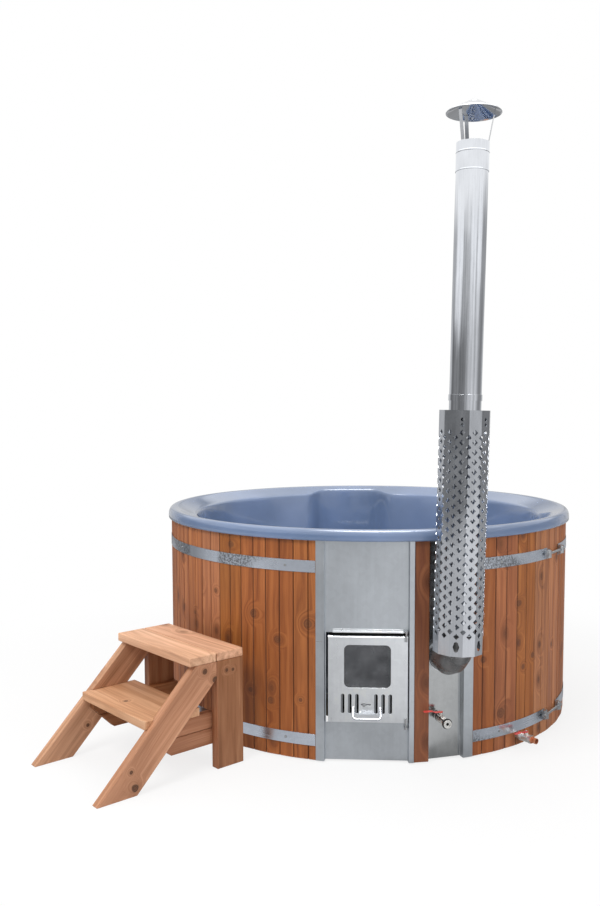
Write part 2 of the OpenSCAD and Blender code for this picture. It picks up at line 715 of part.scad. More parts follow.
body_l = 62;
ball_r = 12;
bore_r = 8;
stem_r = 4;
lever_up = 30;                    // lever over the pipe's axis
tap_root = wall_r + 5 + 14;       // radius of the drain valve's inner end
heat_root = flue_front + 12;      // and of the heater valve's inner end

// Frame of a valve: its axis along -Y from the root, at its height
module on_valve(az, root, z) at_az(az) translate([0, -root, z]) children();
module valve_body() color(steel_bright) difference() {
    union() {
        radial_rod(0, body_l, 15);
        radial_rod(0, 13, 18.5, $fn = 6);
        radial_rod(body_l - 13, body_l, 18.5, $fn = 6);
        radial_rod(body_l / 2 - 12, body_l / 2 + 12, 17.5);
        translate([0, -body_l / 2, 0]) cylinder(r = 9, h = lever_up - 5);
    }
    radial_rod(-1, body_l + 1, bore_r);
    translate([0, -body_l / 2, 0]) sphere(ball_r + eps);
    translate([0, -body_l / 2, 0]) cylinder(r = stem_r + running, h = 60);
}
// Ball with its stem, closed: its bore lies across the pipe
module valve_ball() color(steel_bright) translate([0, -body_l / 2, 0]) {
    difference() {
        sphere(ball_r);
        rotate([0, 90, 0]) cylinder(r = bore_r, h = 60, center = true);
    }
    translate([0, 0, ball_r - 2.5]) cylinder(r = stem_r, h = lever_up + 6 - ball_r);
}
// Flat lever with a raised grip, across the pipe when closed
module valve_lever() color(lever_red) translate([0, -body_l / 2, lever_up - 4])
    difference() {
        union() {
            cylinder(r = 10, h = 3);
            translate([-24, -7, 0]) cube([24, 14, 3]);
            translate([-24, -7, 0]) rotate([0, 22, 0]) translate([-16, 0, 0])
                cube([16, 14, 3]);
            translate([-lever_l + 7, -7, 6]) cube([lever_l - 44, 14, 3.5]);
            translate([-lever_l + 7, 0, 6]) cylinder(r = 7, h = 3.5);
        }
        translate([0, 0, -1]) cylinder(r = stem_r - 0.4, h = 6);
    }
module drain_valve_body() on_valve(drain_az, tap_root, drain_z) {
    valve_body();
    color(steel_bright) difference() {
        radial_rod(-15 + eps, 0, pipe_r + 2);
        radial_rod(-16, 1, bore_r);
    }
}
module drain_valve_ball() on_valve(drain_az, tap_root, drain_z) valve_ball();
module drain_valve_lever() on_valve(drain_az, tap_root, drain_z) valve_lever();
outlet_r = 12.5;
outlet_l = 26;
module drain_valve_outlet() color("#c07848") on_valve(drain_az, tap_root, drain_z)
    difference() {
        union() {
            radial_rod(body_l, body_l + outlet_l, outlet_r);
            radial_rod(body_l, body_l + 6, 16, $fn = 6);
        }
        radial_rod(body_l - 1, body_l + outlet_l + 1, outlet_r - 1.5);
    }
module heater_valve_body() on_valve(tap_az, heat_root, tap_z) valve_body();
module heater_valve_ball() on_valve(tap_az, heat_root, tap_z) valve_ball();
module heater_valve_lever() on_valve(tap_az, heat_root, tap_z) valve_lever();
module heater_valve_nipple() color(steel_bright) at_az(tap_az) difference() {
    radial_rod(duct_front + 0.7, heat_root, pipe_r, tap_z);
    radial_rod(duct_front, heat_root + 1, bore_r, tap_z);
}
cap_l = 20;
module heater_valve_cap() color(steel_bright) on_valve(tap_az, heat_root, tap_z)
    difference() {
        union() {
            radial_rod(body_l, body_l + cap_l, 17);
            radial_rod(body_l + 5, body_l + 9, 19);
        }
        radial_rod(body_l + cap_l - 6, body_l + cap_l + 1, 9);
    }
// Rubber strap that keeps the cap with the valve
strap_t = 3;
module heater_valve_strap() color("#1d1d1f") on_valve(tap_az, heat_root, tap_z) {
    difference() {
        radial_rod(body_l + 10, body_l + 13, 20);
        radial_rod(body_l + 9, body_l + 14, 17 + eps);
    }
    difference() {
        radial_rod(14, 18, 20);
        radial_rod(13, 19, 15 + eps);
    }
    translate([19, -body_l - 13, -2]) cube([strap_t, body_l - 1, 5]);
}

// ---- fire door -------------------------------------------------------------

door_t = 2;
door_front = panel_front + 12;
door_mid = door_z + door_h / 2;
hinge_x = door_x + door_w / 2 - 7;
hinge_y = -door_front - 5;
pin_r = 4;
eye_r = 8;
door_top = door_z + door_h;
bend = 11;                        // radius of the rolled top edge
mid_x = door_x - 6;               // middle of the slots and the handle
slot_at = [for (k = [1.33, 2.33, 3.33], s = [-1, 1]) s * k * slot_pitch];
slot_z = door_z + 38;
window_x = door_x - 2;
window_h = door_h - window_over - window_under;
window_z = door_z + window_under + window_h / 2;
window_corner = 22;
knob_x = mid_x - 10;
knob_z = door_z + 76;
knob_slot = [knob_x - 13, knob_x + 29];   // way of the knob's stud
stud_r = 3;

// Section of the folded door in depth and height, with a rolled top edge
module door_section(in) {
    translate([in, in]) square([door_d, door_h - 2 * in - bend]);
    translate([in + bend, in]) square([door_d - bend, door_h - 2 * in]);
    translate([in + bend, door_h - in - bend]) circle(bend);
}
module door_solid(half, in, back) translate([door_x - half, -door_front, door_z])
    intersection() {
        rotate([90, 0, 90]) linear_extrude(2 * half) door_section(in);
        translate([-1, 0, 0]) cube([2 * half + 2, back, door_h]);
    }
module air_slots(front, t, w, h) for (x = slot_at)
    translate([mid_x + x, 0, slot_z + slot_h / 2])
        plate(front, t) round_square(w, h, w / 2 - 0.01);
module door_panel() color(steel_bright) at_az(heater_az) difference() {
    door_solid(door_w / 2, 0, door_d);
    door_solid(door_w / 2 - door_t, door_t, door_d + 1);
    translate([window_x, 0, window_z]) plate(door_front + 5, 20)
        round_square(window_w, window_h, window_corner);
    air_slots(door_front + 5, 20, slot_w, slot_h);
    translate([(knob_slot[0] + knob_slot[1]) / 2, 0, knob_z])
        plate(door_front + 5, 20) round_square(knob_slot[1] - knob_slot[0],
            2 * stud_r + 1, stud_r + 0.4);
}
glass_over = 12;
glass_t = 4;
module door_glass() color("#3c4248") at_az(heater_az)
    translate([window_x, 0, window_z])
    plate(door_front - door_t - eps, glass_t)
        round_square(window_w + 2 * glass_over, window_h + 2 * glass_over, 6);
module door_glass_frame() color(steel_dark) at_az(heater_az)
    translate([window_x, 0, window_z]) {
        w = window_w + 2 * glass_over;
        h = window_h + 2 * glass_over;
        plate(door_front - door_t - 2 * eps - glass_t, 2) difference() {
            round_square(w + 12, h + 12, 6);
            round_square(window_w - 4, window_h - 4, window_corner - 4);
        }
        for (s = [-1, 1]) translate([0, 0, s * (h / 2 + 4)])
            plate(door_front - door_t - 2 * eps - 0.1, glass_t)
                square([w - 20, 3], center = true);
    }
handle_half = 57;                 // to the middle of a leg
handle_out = 40;
handle_z = [door_z + 60, door_z + 27];
handle_bend = 13;
rod_r = 5.5;
// Bent rod lying flat: two legs towards -Y, two bends and the bar across
module bent_rod(leg) {
    for (s = [0, 1]) mirror([s, 0, 0]) translate([handle_half, 0, 0]) {
        translate([0, 15, 0]) rotate([90, 0, 0])
            cylinder(r = rod_r, h = leg - handle_bend + 15);
        translate([-handle_bend, handle_bend - leg, 0]) rotate(-90)
            rotate_extrude(angle = 90) translate([handle_bend, 0]) circle(rod_r);
    }
    translate([handle_bend - handle_half, -leg, 0]) rotate([0, 90, 0])
        cylinder(r = rod_r, h = 2 * (handle_half - handle_bend));
}
// The rod tilted down and cut flush with the door's face
module door_handle() color(steel_bright) at_az(heater_az)
    translate([mid_x + 2, -door_front, handle_z[0]]) intersection() {
        fall = handle_z[0] - handle_z[1];
        rotate([atan(fall / handle_out), 0, 0]) bent_rod(norm([handle_out, fall]));
        translate([-200, -200, -200]) cube([400, 200, 400]);
    }
// Pins on lugs at the door's right edge, above and below
module door_hinge_pins() color(steel_bright) at_az(heater_az) {
    for (s = [0, 1]) translate([0, 0, door_mid]) mirror([0, 0, s]) {
        translate([hinge_x - 8, -door_front - 8, door_h / 2 - 22]) cube([12, 8, 22]);
        translate([hinge_x, hinge_y, door_h / 2 - 22]) cylinder(r = pin_r, h = 44);
    }
}
eye_gap = 3;
module hinge_eyes() color(steel_bright) at_az(heater_az) translate([0, 0, door_mid])
    for (s = [0, 1]) mirror([0, 0, s]) difference() {
        translate([0, 0, door_h / 2 + 12 + eye_gap]) {
            translate([hinge_x, hinge_y, 0]) cylinder(r = eye_r, h = 10);
            translate([hinge_x - eye_r, hinge_y, 0])
                cube([eye_r + 5, -hinge_y - panel_front, 10]);
        }
        translate([hinge_x, hinge_y, 0]) cylinder(r = pin_r + running, h = door_h);
    }

// Slotted plate behind the door that opens and shuts the air slots
damper_t = 1.5;
damper_w = 250;
damper_shift = slot_w / 2;
module air_damper() color(steel) at_az(heater_az) {
    difference() {
        translate([mid_x + 4, 0, slot_z + slot_h / 2])
            plate(door_front - door_t - eps, damper_t)
                square([damper_w, slot_h + 14], center = true);
        translate([damper_shift, 0, 0])
            air_slots(door_front, 20, slot_w, slot_h + 4);
    }
    translate([knob_x, 0, knob_z])
        radial_rod(door_front - door_t - eps - damper_t / 2, door_front + 6, stud_r);
}
module air_damper_knob() color(steel_bright) at_az(heater_az)
    translate([knob_x, 0, knob_z]) difference() {
        union() {
            radial_rod(door_front + eps, door_front + 3, 8);
            radial_rod(door_front + 3, door_front + 14, 5.5);
        }
        radial_rod(door_front, door_front + 6, stud_r);
    }

// ---- step stair ------------------------------------------------------------

step_half = step_w / 2;
tread_gap = 3;
top_depth = 2 * tread_w + tread_gap;
under = step_h - tread_t;         // underside of the upper tread
string_run = string_w * sqrt(2);  // level cut across a string at 45 degrees
string_foot = 695;                // front of the strings' feet
low_front = string_foot - low_tread_h + 42;
low_depth = 262;

// Frame of the steps: X along the treads, the back at y = 0
module on_steps() at_az(step_az) translate([0, -wall_r - step_out, 0])
    rotate([0, 0, step_turn]) children();
// Sloped board, cut level at the foot and the tread and upright at the leg
module string_plate(x) translate([x, 0, 0]) rotate([90, 0, 90])
    linear_extrude(string_t) polygon([
        [-string_foot, 0], [-string_foot + string_run, 0],
        [-leg_w - eps, string_foot - string_run - leg_w - eps],
        [-leg_w - eps, under], [-string_foot + under, under]]);
module step_strings() color(wood_pale) on_steps() difference() {
    for (x = [-step_half, step_half - string_t]) string_plate(x);
    // housings for the lower tread
    lower_tread_block(eps);
}
module lower_tread_block(grow)
    translate([-step_half + string_t - 12 - grow, -low_front - grow,
            low_tread_h - tread_t - grow])
        cube([step_w - 2 * string_t + 24 + 2 * grow, low_depth + 2 * grow,
            tread_t + 2 * grow]);
module step_legs() color(wood_pale) on_steps()
    for (x = [-step_half, step_half - string_t])
        translate([x, -leg_w, 0]) cube([string_t, leg_w, under]);
module top_board(y) translate([-step_half, y, under + eps])
    cube([step_w, tread_w, tread_t - eps]);
module top_tread_front() color(wood_pale) on_steps() top_board(-top_depth);
module top_tread_back() color(wood_pale) on_steps() top_board(-tread_w);
module lower_tread() color(wood_pale) on_steps() lower_tread_block(0);
rail_t = 32;
module step_rails() color(wood_pale) on_steps() {
    w = step_w - 2 * string_t - 2 * eps;
    // low rail between the legs and a cleat under the upper tread
    translate([-w / 2, -leg_w + 10, 60]) cube([w, rail_t, 150]);
    translate([-w / 2, -leg_w + 10, under - 70]) cube([w, rail_t, 70]);
}

// ---- all pieces ------------------------------------------------------------

shell();
wall_boards();
front_board();
base_boards();
base_joists();
frame_rings();
frame_posts();
hoop_upper();
hoop_lower();
hoop_lugs();
hoop_bolts();
hoop_screws();
heater_panel();
heater_trim_left();
heater_trim_right();
flue_panel();
flue_trim();
drip_lip();
hinge_eyes();
stove_body();
stove_mouth();
stove_grate();
stove_rails();
water_fittings();
floor_drain();
drain_pipe();
flue_rosette();
flue_elbow();
flue_pipe_lower();
flue_joint_ring();
flue_pipe_upper();
chimney_guard();
guard_spacers();
rain_cap_collar();
rain_cap_legs();
rain_cap();
drain_valve_body();
drain_valve_outlet();
heater_valve_body();
heater_valve_nipple();
heater_valve_cap();
heater_valve_strap();
drain_valve_ball();
drain_valve_lever();
heater_valve_ball();
heater_valve_lever();
door_panel();
door_glass();
door_glass_frame();
door_handle();
door_hinge_pins();
air_damper();
air_damper_knob();
step_strings();
step_legs();
top_tread_front();
top_tread_back();
lower_tread();
step_rails();
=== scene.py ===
"""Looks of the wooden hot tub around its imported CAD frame.

Metres and degrees, +Z up, with the fire door towards -Y. An azimuth runs anticlockwise, seen
from above, and starts at -Y.
"""
import json
import math

import bmesh
import bpy
from mathutils import Matrix, Vector


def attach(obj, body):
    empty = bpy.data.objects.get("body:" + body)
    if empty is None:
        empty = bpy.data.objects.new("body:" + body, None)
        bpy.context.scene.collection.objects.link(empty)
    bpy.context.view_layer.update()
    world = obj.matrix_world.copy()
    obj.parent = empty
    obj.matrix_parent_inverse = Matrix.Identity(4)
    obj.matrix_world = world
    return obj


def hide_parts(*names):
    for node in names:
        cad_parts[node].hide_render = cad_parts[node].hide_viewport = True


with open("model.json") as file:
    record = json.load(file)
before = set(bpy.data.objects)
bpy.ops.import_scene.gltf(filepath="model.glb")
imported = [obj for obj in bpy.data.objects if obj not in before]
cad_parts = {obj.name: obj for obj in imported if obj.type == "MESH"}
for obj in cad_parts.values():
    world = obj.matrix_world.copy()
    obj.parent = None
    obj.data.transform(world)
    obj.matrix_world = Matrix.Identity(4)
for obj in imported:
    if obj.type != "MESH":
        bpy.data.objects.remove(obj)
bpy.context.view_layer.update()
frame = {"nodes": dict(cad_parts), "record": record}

# ---- places that the looks share with the part's source ---------------------

WALL_R = 1.0             # outside of the boards
FIRST_JOINT = 33.78      # azimuth of the first joint between boards
BOARD_ANGLE = 7.524      # angle that one board takes
BOARD_W = 0.131          # and its width
FRONT_AZ = 13.5          # azimuth of the single board in the steel front
HEATER_TURN = 0.4        # turn of the heater's front about Z
FLUE_AZ = 19.5           # the flue's azimuth, distance, height and lean where it leaves the wall
FLUE_R = 1.119
FLUE_Z = 0.452
FLUE_LEAN = 1.2
TAP_AZ = 18.0            # the heater valve's azimuth and height, and its body's outer end
TAP_Z = 0.196
TAP_END = 1.048
STEP_AZ = -42.0          # azimuth of the step stair
STEP_TWIST = -2.6        # its own turn there
STEP_BACK = 1.070        # distance of its back from the tub's axis
STEP_TURN = STEP_AZ + STEP_TWIST


def turn_z(angle):
    return Matrix.Rotation(math.radians(angle), 4, "Z")


ON_STEPS = turn_z(STEP_AZ) @ Matrix.Translation((0, -STEP_BACK, 0)) @ turn_z(STEP_TWIST)
ON_TAP = turn_z(TAP_AZ) @ Matrix.Translation((0, -TAP_END, TAP_Z))
ON_CHIMNEY = (turn_z(FLUE_AZ) @ Matrix.Translation((0, 0, FLUE_Z))
              @ Matrix.Rotation(math.radians(FLUE_LEAN), 4, "Y")
              @ Matrix.Translation((0, -FLUE_R, 0)))


# ---- node kits --------------------------------------------------------------


class Kit:
    """Short names for building a node tree."""

    def __init__(self, tree):
        self.tree = tree
        tree.nodes.clear()

    def put(self, socket, value):
        if isinstance(value, bpy.types.NodeSocket):
            self.tree.links.new(value, socket)
        else:
            socket.default_value = value

    def node(self, kind, ins=None, **attrs):
        n = self.tree.nodes.new(kind)
        for key, value in attrs.items():
            setattr(n, key, value)
        for key, value in (ins or {}).items():
            self.put(n.inputs[key], value)
        return n

    def math(self, op, a, b=0.0):
        return self.node("ShaderNodeMath", {0: a, 1: b}, operation=op).outputs[0]

    def add(self, a, b):
        return self.math("ADD", a, b)

    def mul(self, a, b):
        return self.math("MULTIPLY", a, b)

    def length(self, x, y):
        return self.math("SQRT", self.add(self.mul(x, x), self.mul(y, y)))

    def azimuth(self, x, y):
        """The azimuth of a point, from -pi to pi."""
        return self.math("ARCTAN2", x, self.mul(y, -1.0))

    def vec(self, x, y, z):
        return self.node("ShaderNodeCombineXYZ", {0: x, 1: y, 2: z}).outputs[0]

    def scaled(self, point, *factors):
        """A point whose coordinates are each times a factor of their own."""
        return self.vec(*(self.mul(value, factor) for value, factor in zip(point, factors)))

    def here(self):
        return self.node("ShaderNodeTexCoord").outputs["Object"]

    def coords(self, turn=0.0):
        """Object coordinates, turned about Z, as three sockets."""
        point = self.here()
        if turn:
            point = self.node("ShaderNodeVectorRotate",
                              {"Vector": point, "Angle": math.radians(-turn)},
                              rotation_type="Z_AXIS").outputs[0]
        parts = self.node("ShaderNodeSeparateXYZ", {0: point})
        return parts.outputs[0], parts.outputs[1], parts.outputs[2]

    def noise(self, vec, detail, rough=0.5, scale=1.0):
        ins = {"Vector": vec, "Scale": scale, "Detail": detail, "Roughness": rough}
        return self.node("ShaderNodeTexNoise", ins).outputs[0]

    def cells(self, vec, out="Distance", flat=False):
        return self.node("ShaderNodeTexVoronoi", {"Vector": vec, "Scale": 1.0},
                         voronoi_dimensions="2D" if flat else "3D").outputs[out]

    def chance(self, value):
        """A number from 0 to 1 that depends on the value alone."""
        return self.node("ShaderNodeTexWhiteNoise", {"W": value}, noise_dimensions="1D").outputs[0]

    def span(self, value, lo, hi, a=0.0, b=1.0, smooth=True):
        """Maps lo to a and hi to b, and holds the ends."""
        ins = {"Value": value, "From Min": lo, "From Max": hi, "To Min": a, "To Max": b}
        return self.node("ShaderNodeMapRange", ins,
                         interpolation_type="SMOOTHSTEP" if smooth else "LINEAR").outputs[0]

    def spread(self, noise, a, b, smooth=True):
        """Maps a noise's usual range to a and b."""
        return self.span(noise, 0.3, 0.7, a, b, smooth)

    def ramp(self, fac, stops):
        n = self.node("ShaderNodeValToRGB", {0: fac})
        band = n.color_ramp
        while len(band.elements) < len(stops):
            band.elements.new(0.5)
        for element, (position, colour) in zip(band.elements, stops):
            element.position = position
            element.color = (*colour, 1.0)
        return n.outputs[0]

    def blend(self, fac, a, b, kind="MIX"):
        n = self.node("ShaderNodeMix", data_type="RGBA", blend_type=kind)
        for socket, value in zip((n.inputs[0], n.inputs[6], n.inputs[7]), (fac, a, b)):
            self.put(socket, value)
        return n.outputs[2]

    def darker(self, colour, level):
        """A colour times a grey level."""
        grey = self.node("ShaderNodeCombineColor", {0: level, 1: level, 2: level}).outputs[0]
        return self.blend(1.0, colour, grey, "MULTIPLY")

    def red(self, colour):
        return self.node("ShaderNodeSeparateColor", {0: colour}).outputs[0]

    def glow(self, colour, strength):
        ins = {"Color": colour, "Strength": strength}
        return self.node("ShaderNodeEmission", ins).outputs[0]

    def bump(self, height, distance, strength, normal=None):
        ins = {"Height": height, "Distance": distance, "Strength": strength}
        if normal is not None:
            ins["Normal"] = normal
        return self.node("ShaderNodeBump", ins).outputs[0]

    def rounded(self, radius):
        return self.node("ShaderNodeBevel", {"Radius": radius}, samples=4).outputs[0]

    def seen(self):
        """1 for what the camera, gloss and glass see, and 0 for light on the object."""
        rays = self.node("ShaderNodeLightPath").outputs
        clear = self.math("MAXIMUM", rays["Is Glossy Ray"], rays["Is Transmission Ray"])
        return self.math("MAXIMUM", rays["Is Camera Ray"], clear)


class Surface(Kit):
    """A new material's nodes, with its shader and its output."""

    def __init__(self, name):
        self.mat = bpy.data.materials.new(name)
        self.mat.use_nodes = True
        super().__init__(self.mat.node_tree)
        self.out = self.node("ShaderNodeOutputMaterial")
        self.bsdf = self.node("ShaderNodeBsdfPrincipled")
        self.show(self.bsdf.outputs[0])

    def show(self, shader):
        self.put(self.out.inputs[0], shader)

    def set(self, **ins):
        """Fills the shader's sockets, named with _ for a space."""
        for key, value in ins.items():
            self.put(self.bsdf.inputs[key.replace("_", " ")], value)


def rgb(r, g, b):
    """A colour as the photograph shows it (0 to 255), in linear light."""
    return tuple(
        (c / 255 / 12.92) if c / 255 <= 0.04045 else ((c / 255 + 0.055) / 1.055) ** 2.4
        for c in (r, g, b)
    )


def col(r, g, b):
    return (*rgb(r, g, b), 1.0)


# ---- wood -------------------------------------------------------------------

# Factors from metres to the patterns' own units, across the grain, into the wood and along it
KNOT_GRID = (7.5, 4.6)           # across and along: one scattered knot to a cell at most
WARP = (9.0, 9.0, 1.1)           # slow waves that bend the growth rings
RING = (38.0, 30.0, 0.9)
FIBRE = (420.0, 420.0, 9.0)
DRIFT = (6.0, 2.0)               # across and along: weathering
BOARD_SHIFT = (7.0, 11.0)        # how far apart the boards' patterns may lie
WAVE_BEND, KNOT_BEND = 3.6, 4.2  # how far the waves push a ring, and how far a knot does
RING_SHARE, FIBRE_SHARE = 0.84, 0.24
TONE_STOPS = (0.30, 0.46, 0.60, 0.78)
BOARD_LEVELS = (0.86, 1.12)      # ranges over which the boards differ
BOARD_HUES = (0.496, 0.503)
BOARD_SATURATIONS = (1.06, 0.92)
SEAM_DIRT = col(58, 32, 20)

# A scattered knot, in distances from its cell's point
KNOT_SHARE = 0.24                # share of the cells that hold one
KNOT_REACH = 0.42                # how far it bends the grain
KNOT_CORE = (0.035, 0.11)        # where its core and its halo fade out
KNOT_HALO = (0.09, 0.26)
KNOT_RINGS = 150.0               # radians of its own rings per unit
KNOT_TONES = (col(62, 32, 16), col(118, 68, 36))
KNOT_DEPTHS = (0.35, 0.75)       # how dark the core is, from board to board

# A placed knot, in its own radii
SPOT_REACH = 3.4
SPOT_CORE = (0.75, 1.05)
SPOT_HALO = (0.9, 2.4)
SPOT_RINGS = 14.0
SPOT_TONES = (col(46, 27, 17), col(112, 68, 40))

# The plainest knots of the wall: azimuth, height and radius
WALL_KNOTS = [
    (-36, 0.90, 0.018), (-52, 0.55, 0.012), (-42, 0.68, 0.012), (-29, 0.61, 0.020),
    (-22, 0.51, 0.016), (-14, 0.59, 0.020), (-30, 0.27, 0.012), (-24, 0.24, 0.016),
    (-16, 0.26, 0.010), (30, 0.42, 0.014), (36, 0.17, 0.024), (44, 0.35, 0.013),
    (48, 0.39, 0.013), (59, 0.40, 0.013), (42, 0.64, 0.016), (37, 0.84, 0.016),
    (62, 0.80, 0.014), (110, 0.60, 0.016), (150, 0.35, 0.018), (205, 0.70, 0.016),
    (250, 0.45, 0.016), (285, 0.75, 0.014),
]
# and of the steps: place in the steps' own frame, and radius
STRING_KNOTS = [
    (0.282, -0.195, 0.426, 0.012), (0.282, -0.145, 0.384, 0.013), (0.282, -0.545, 0.100, 0.009),
    (0.282, -0.530, 0.034, 0.017), (0.282, -0.616, 0.126, 0.012), (-0.243, -0.447, 0.122, 0.009),
]
LEG_KNOTS = [(0.282, -0.085, 0.411, 0.009), (0.282, -0.053, 0.408, 0.008)]
LOW_KNOTS = [(-0.018, -0.388, 0.272, 0.011)]

# Four tones of a wood each, from its late rings to its early ones
STAIN = [rgb(104, 54, 24), rgb(144, 82, 40), rgb(168, 102, 54), rgb(190, 126, 74)]
PLANK = [rgb(136, 88, 56), rgb(170, 118, 82), rgb(192, 140, 104), rgb(212, 164, 128)]
SHADED = [rgb(86, 44, 22), rgb(116, 64, 36), rgb(134, 80, 46), rgb(154, 98, 60)]
OILED = [rgb(118, 70, 42), rgb(146, 94, 60), rgb(166, 114, 80), rgb(190, 140, 104)]
TREAD = [rgb(152, 104, 72), rgb(190, 140, 104), rgb(214, 166, 130), rgb(230, 190, 156)]
SAWN = [rgb(150, 118, 82), rgb(176, 144, 104), rgb(194, 164, 124), rgb(208, 182, 144)]


def nearest_knot(k, spots):
    """Distance to the nearest of the placed knots, in that knot's radii."""
    here = k.here()
    close = None
    for place, radius in spots:
        away = k.node("ShaderNodeVectorMath", {0: here, 1: place}, operation="DISTANCE")
        away = k.mul(away.outputs["Value"], 1 / radius)
        close = away if close is None else k.math("MINIMUM", close, away)
    return close


def wood(k, across, depth, along, piece, tones, knots, rough, edge, spots, seam=None, bold=0.9):
    """Stained softwood with grain along one axis and knots that the grain runs round.

    across, depth and along are sockets in metres, and piece is a number that differs by board.
    knots scales how many are scattered, spots places more of them and bold is how dark those are.
    """
    dark_tone = (*tones[0], 1.0)
    shift = k.chance(piece)
    shift2 = k.chance(k.add(piece, 41.3))
    a = k.add(across, k.mul(shift, BOARD_SHIFT[0]))
    c = k.add(along, k.mul(shift2, BOARD_SHIFT[1]))

    # scattered knots, and the push that all knots give to the grain
    grid = k.vec(k.mul(a, KNOT_GRID[0]), k.mul(c, KNOT_GRID[1]), 0.0)
    near = k.cells(grid, flat=True)
    shown = k.math("GREATER_THAN", k.red(k.cells(grid, "Color", flat=True)),
                   1.0 - KNOT_SHARE * knots)
    swirl = k.mul(k.span(near, 0.0, KNOT_REACH, 1.0, 0.0), shown)
    if spots:
        close = nearest_knot(k, spots)
        swirl = k.math("MAXIMUM", swirl, k.span(close, 0.0, SPOT_REACH, 1.0, 0.0))

    # growth rings, warped slowly and pushed aside by the knots, with fine fibres
    slow = k.noise(k.scaled((a, depth, c), *WARP), 2.0)
    ring_x = k.add(k.mul(a, RING[0]), k.add(k.mul(slow, WAVE_BEND), k.mul(swirl, KNOT_BEND)))
    rings = k.noise(k.vec(ring_x, k.mul(depth, RING[1]), k.mul(c, RING[2])), 4.0, 0.62)
    fine = k.noise(k.scaled((a, depth, c), *FIBRE), 3.0, 0.6)
    tone = k.add(k.mul(rings, RING_SHARE), k.mul(fine, FIBRE_SHARE))
    hue = k.ramp(tone, list(zip(TONE_STOPS, tones)))

    # weathering drifts slowly over a board, and each board has a tone of its own
    drift = k.noise(k.vec(k.mul(a, DRIFT[0]), 0.0, k.mul(c, DRIFT[1])), 2.0)
    level = k.add(k.span(shift, 0, 1, *BOARD_LEVELS, False), k.spread(drift, -0.09, 0.09))
    hue = k.node("ShaderNodeHueSaturation", {
        "Color": k.darker(hue, level),
        "Hue": k.span(shift2, 0, 1, *BOARD_HUES, False),
        "Saturation": k.span(shift, 0, 1, *BOARD_SATURATIONS, False),
    }).outputs[0]

    # a scattered knot: a dark halo round a core with rings of its own
    core = k.mul(k.span(near, *KNOT_CORE, 1.0, 0.0), shown)
    halo = k.mul(k.span(near, *KNOT_HALO, 0.55, 0.0), shown)
    whorl = k.span(k.math("SINE", k.mul(near, KNOT_RINGS)), -1, 1, 0.0, 0.7)
    hue = k.blend(halo, hue, dark_tone)
    darkness = k.mul(core, k.span(shift2, 0, 1, *KNOT_DEPTHS, False))
    hue = k.blend(darkness, hue, k.blend(whorl, *KNOT_TONES))

    # a placed knot: the same, with a ragged edge
    if spots:
        ragged = k.add(close, k.spread(rings, -0.2, 0.2, False))
        hue = k.blend(k.span(ragged, *SPOT_HALO, 0.5 * bold, 0.0), hue, dark_tone)
        whorl = k.span(k.math("SINE", k.mul(ragged, SPOT_RINGS)), -1, 1, 0.1, 0.8)
        core_edge = k.span(ragged, *SPOT_CORE, bold, 0.0)
        hue = k.blend(core_edge, hue, k.blend(whorl, *SPOT_TONES))
    if seam is not None:
        hue = k.blend(k.mul(seam, 0.8), hue, SEAM_DIRT)

    k.set(
        Base_Color=hue,
        Roughness=k.spread(tone, rough - 0.06, rough + 0.10),
        Normal=k.bump(k.add(tone, k.mul(core, -0.5)), 0.0009, 0.5, k.rounded(edge)),
        Specular_IOR_Level=0.42,
        Coat_Weight=0.10,
        Coat_Roughness=0.35,
    )
    return k.mat


def wall_wood():
    """Boards round the tub, told apart by their azimuth."""
    k = Surface("stained_boards")
    x, y, z = k.coords()
    azimuth = k.math("MODULO", k.add(k.mul(k.azimuth(x, y), 180 / math.pi), 360.0), 360.0)
    board = k.math("DIVIDE", k.add(azimuth, -FIRST_JOINT), BOARD_ANGLE)
    index = k.math("FLOOR", board)
    part = k.math("SUBTRACT", board, index)
    # dirt gathers in the joints and in the groove along each board's middle
    off = k.math("ABSOLUTE", k.add(k.math("FRACT", k.mul(part, 2.0)), -0.5))
    seam = k.span(off, 0.44, 0.5)
    spots = [(tuple(turn_z(az) @ Vector((0, -WALL_R, height))), radius)
             for az, height, radius in WALL_KNOTS]
    return wood(k, k.mul(part, BOARD_W), k.length(x, y), z, index, STAIN, knots=1.0, rough=0.52,
                edge=0.0012, spots=spots, seam=seam, bold=0.55)


def plank_wood(name, turn, axis, tones, seed, knots=1.0, pitch=None, spots=()):
    """Wood for straight pieces in a turned frame.

    axis says which way the grain runs there. A pitch cuts the node into boards along the
    pattern's depth, so that each gets a pattern of its own.
    """
    k = Surface(name)
    x, y, z = k.coords(turn)
    if axis == "x":
        across, depth, along = y, z, x
    elif axis == "y":
        across, depth, along = z, x, y
    elif axis == "z":
        across, depth, along = x, y, z
    else:  # along a slope of 45 degrees in Y and Z
        s = math.sqrt(0.5)
        across, depth, along = k.add(k.mul(z, s), k.mul(y, -s)), x, k.add(k.mul(z, s), k.mul(y, s))
    piece = seed if pitch is None else k.add(k.math("FLOOR", k.math("DIVIDE", depth, pitch)), seed)
    spots = [(tuple(ON_STEPS @ Vector(spot[:3])), spot[3]) for spot in spots]
    return wood(k, across, depth, along, piece, tones, knots, rough=0.6, edge=0.003, spots=spots)


# ---- metals and the rest ----------------------------------------------------


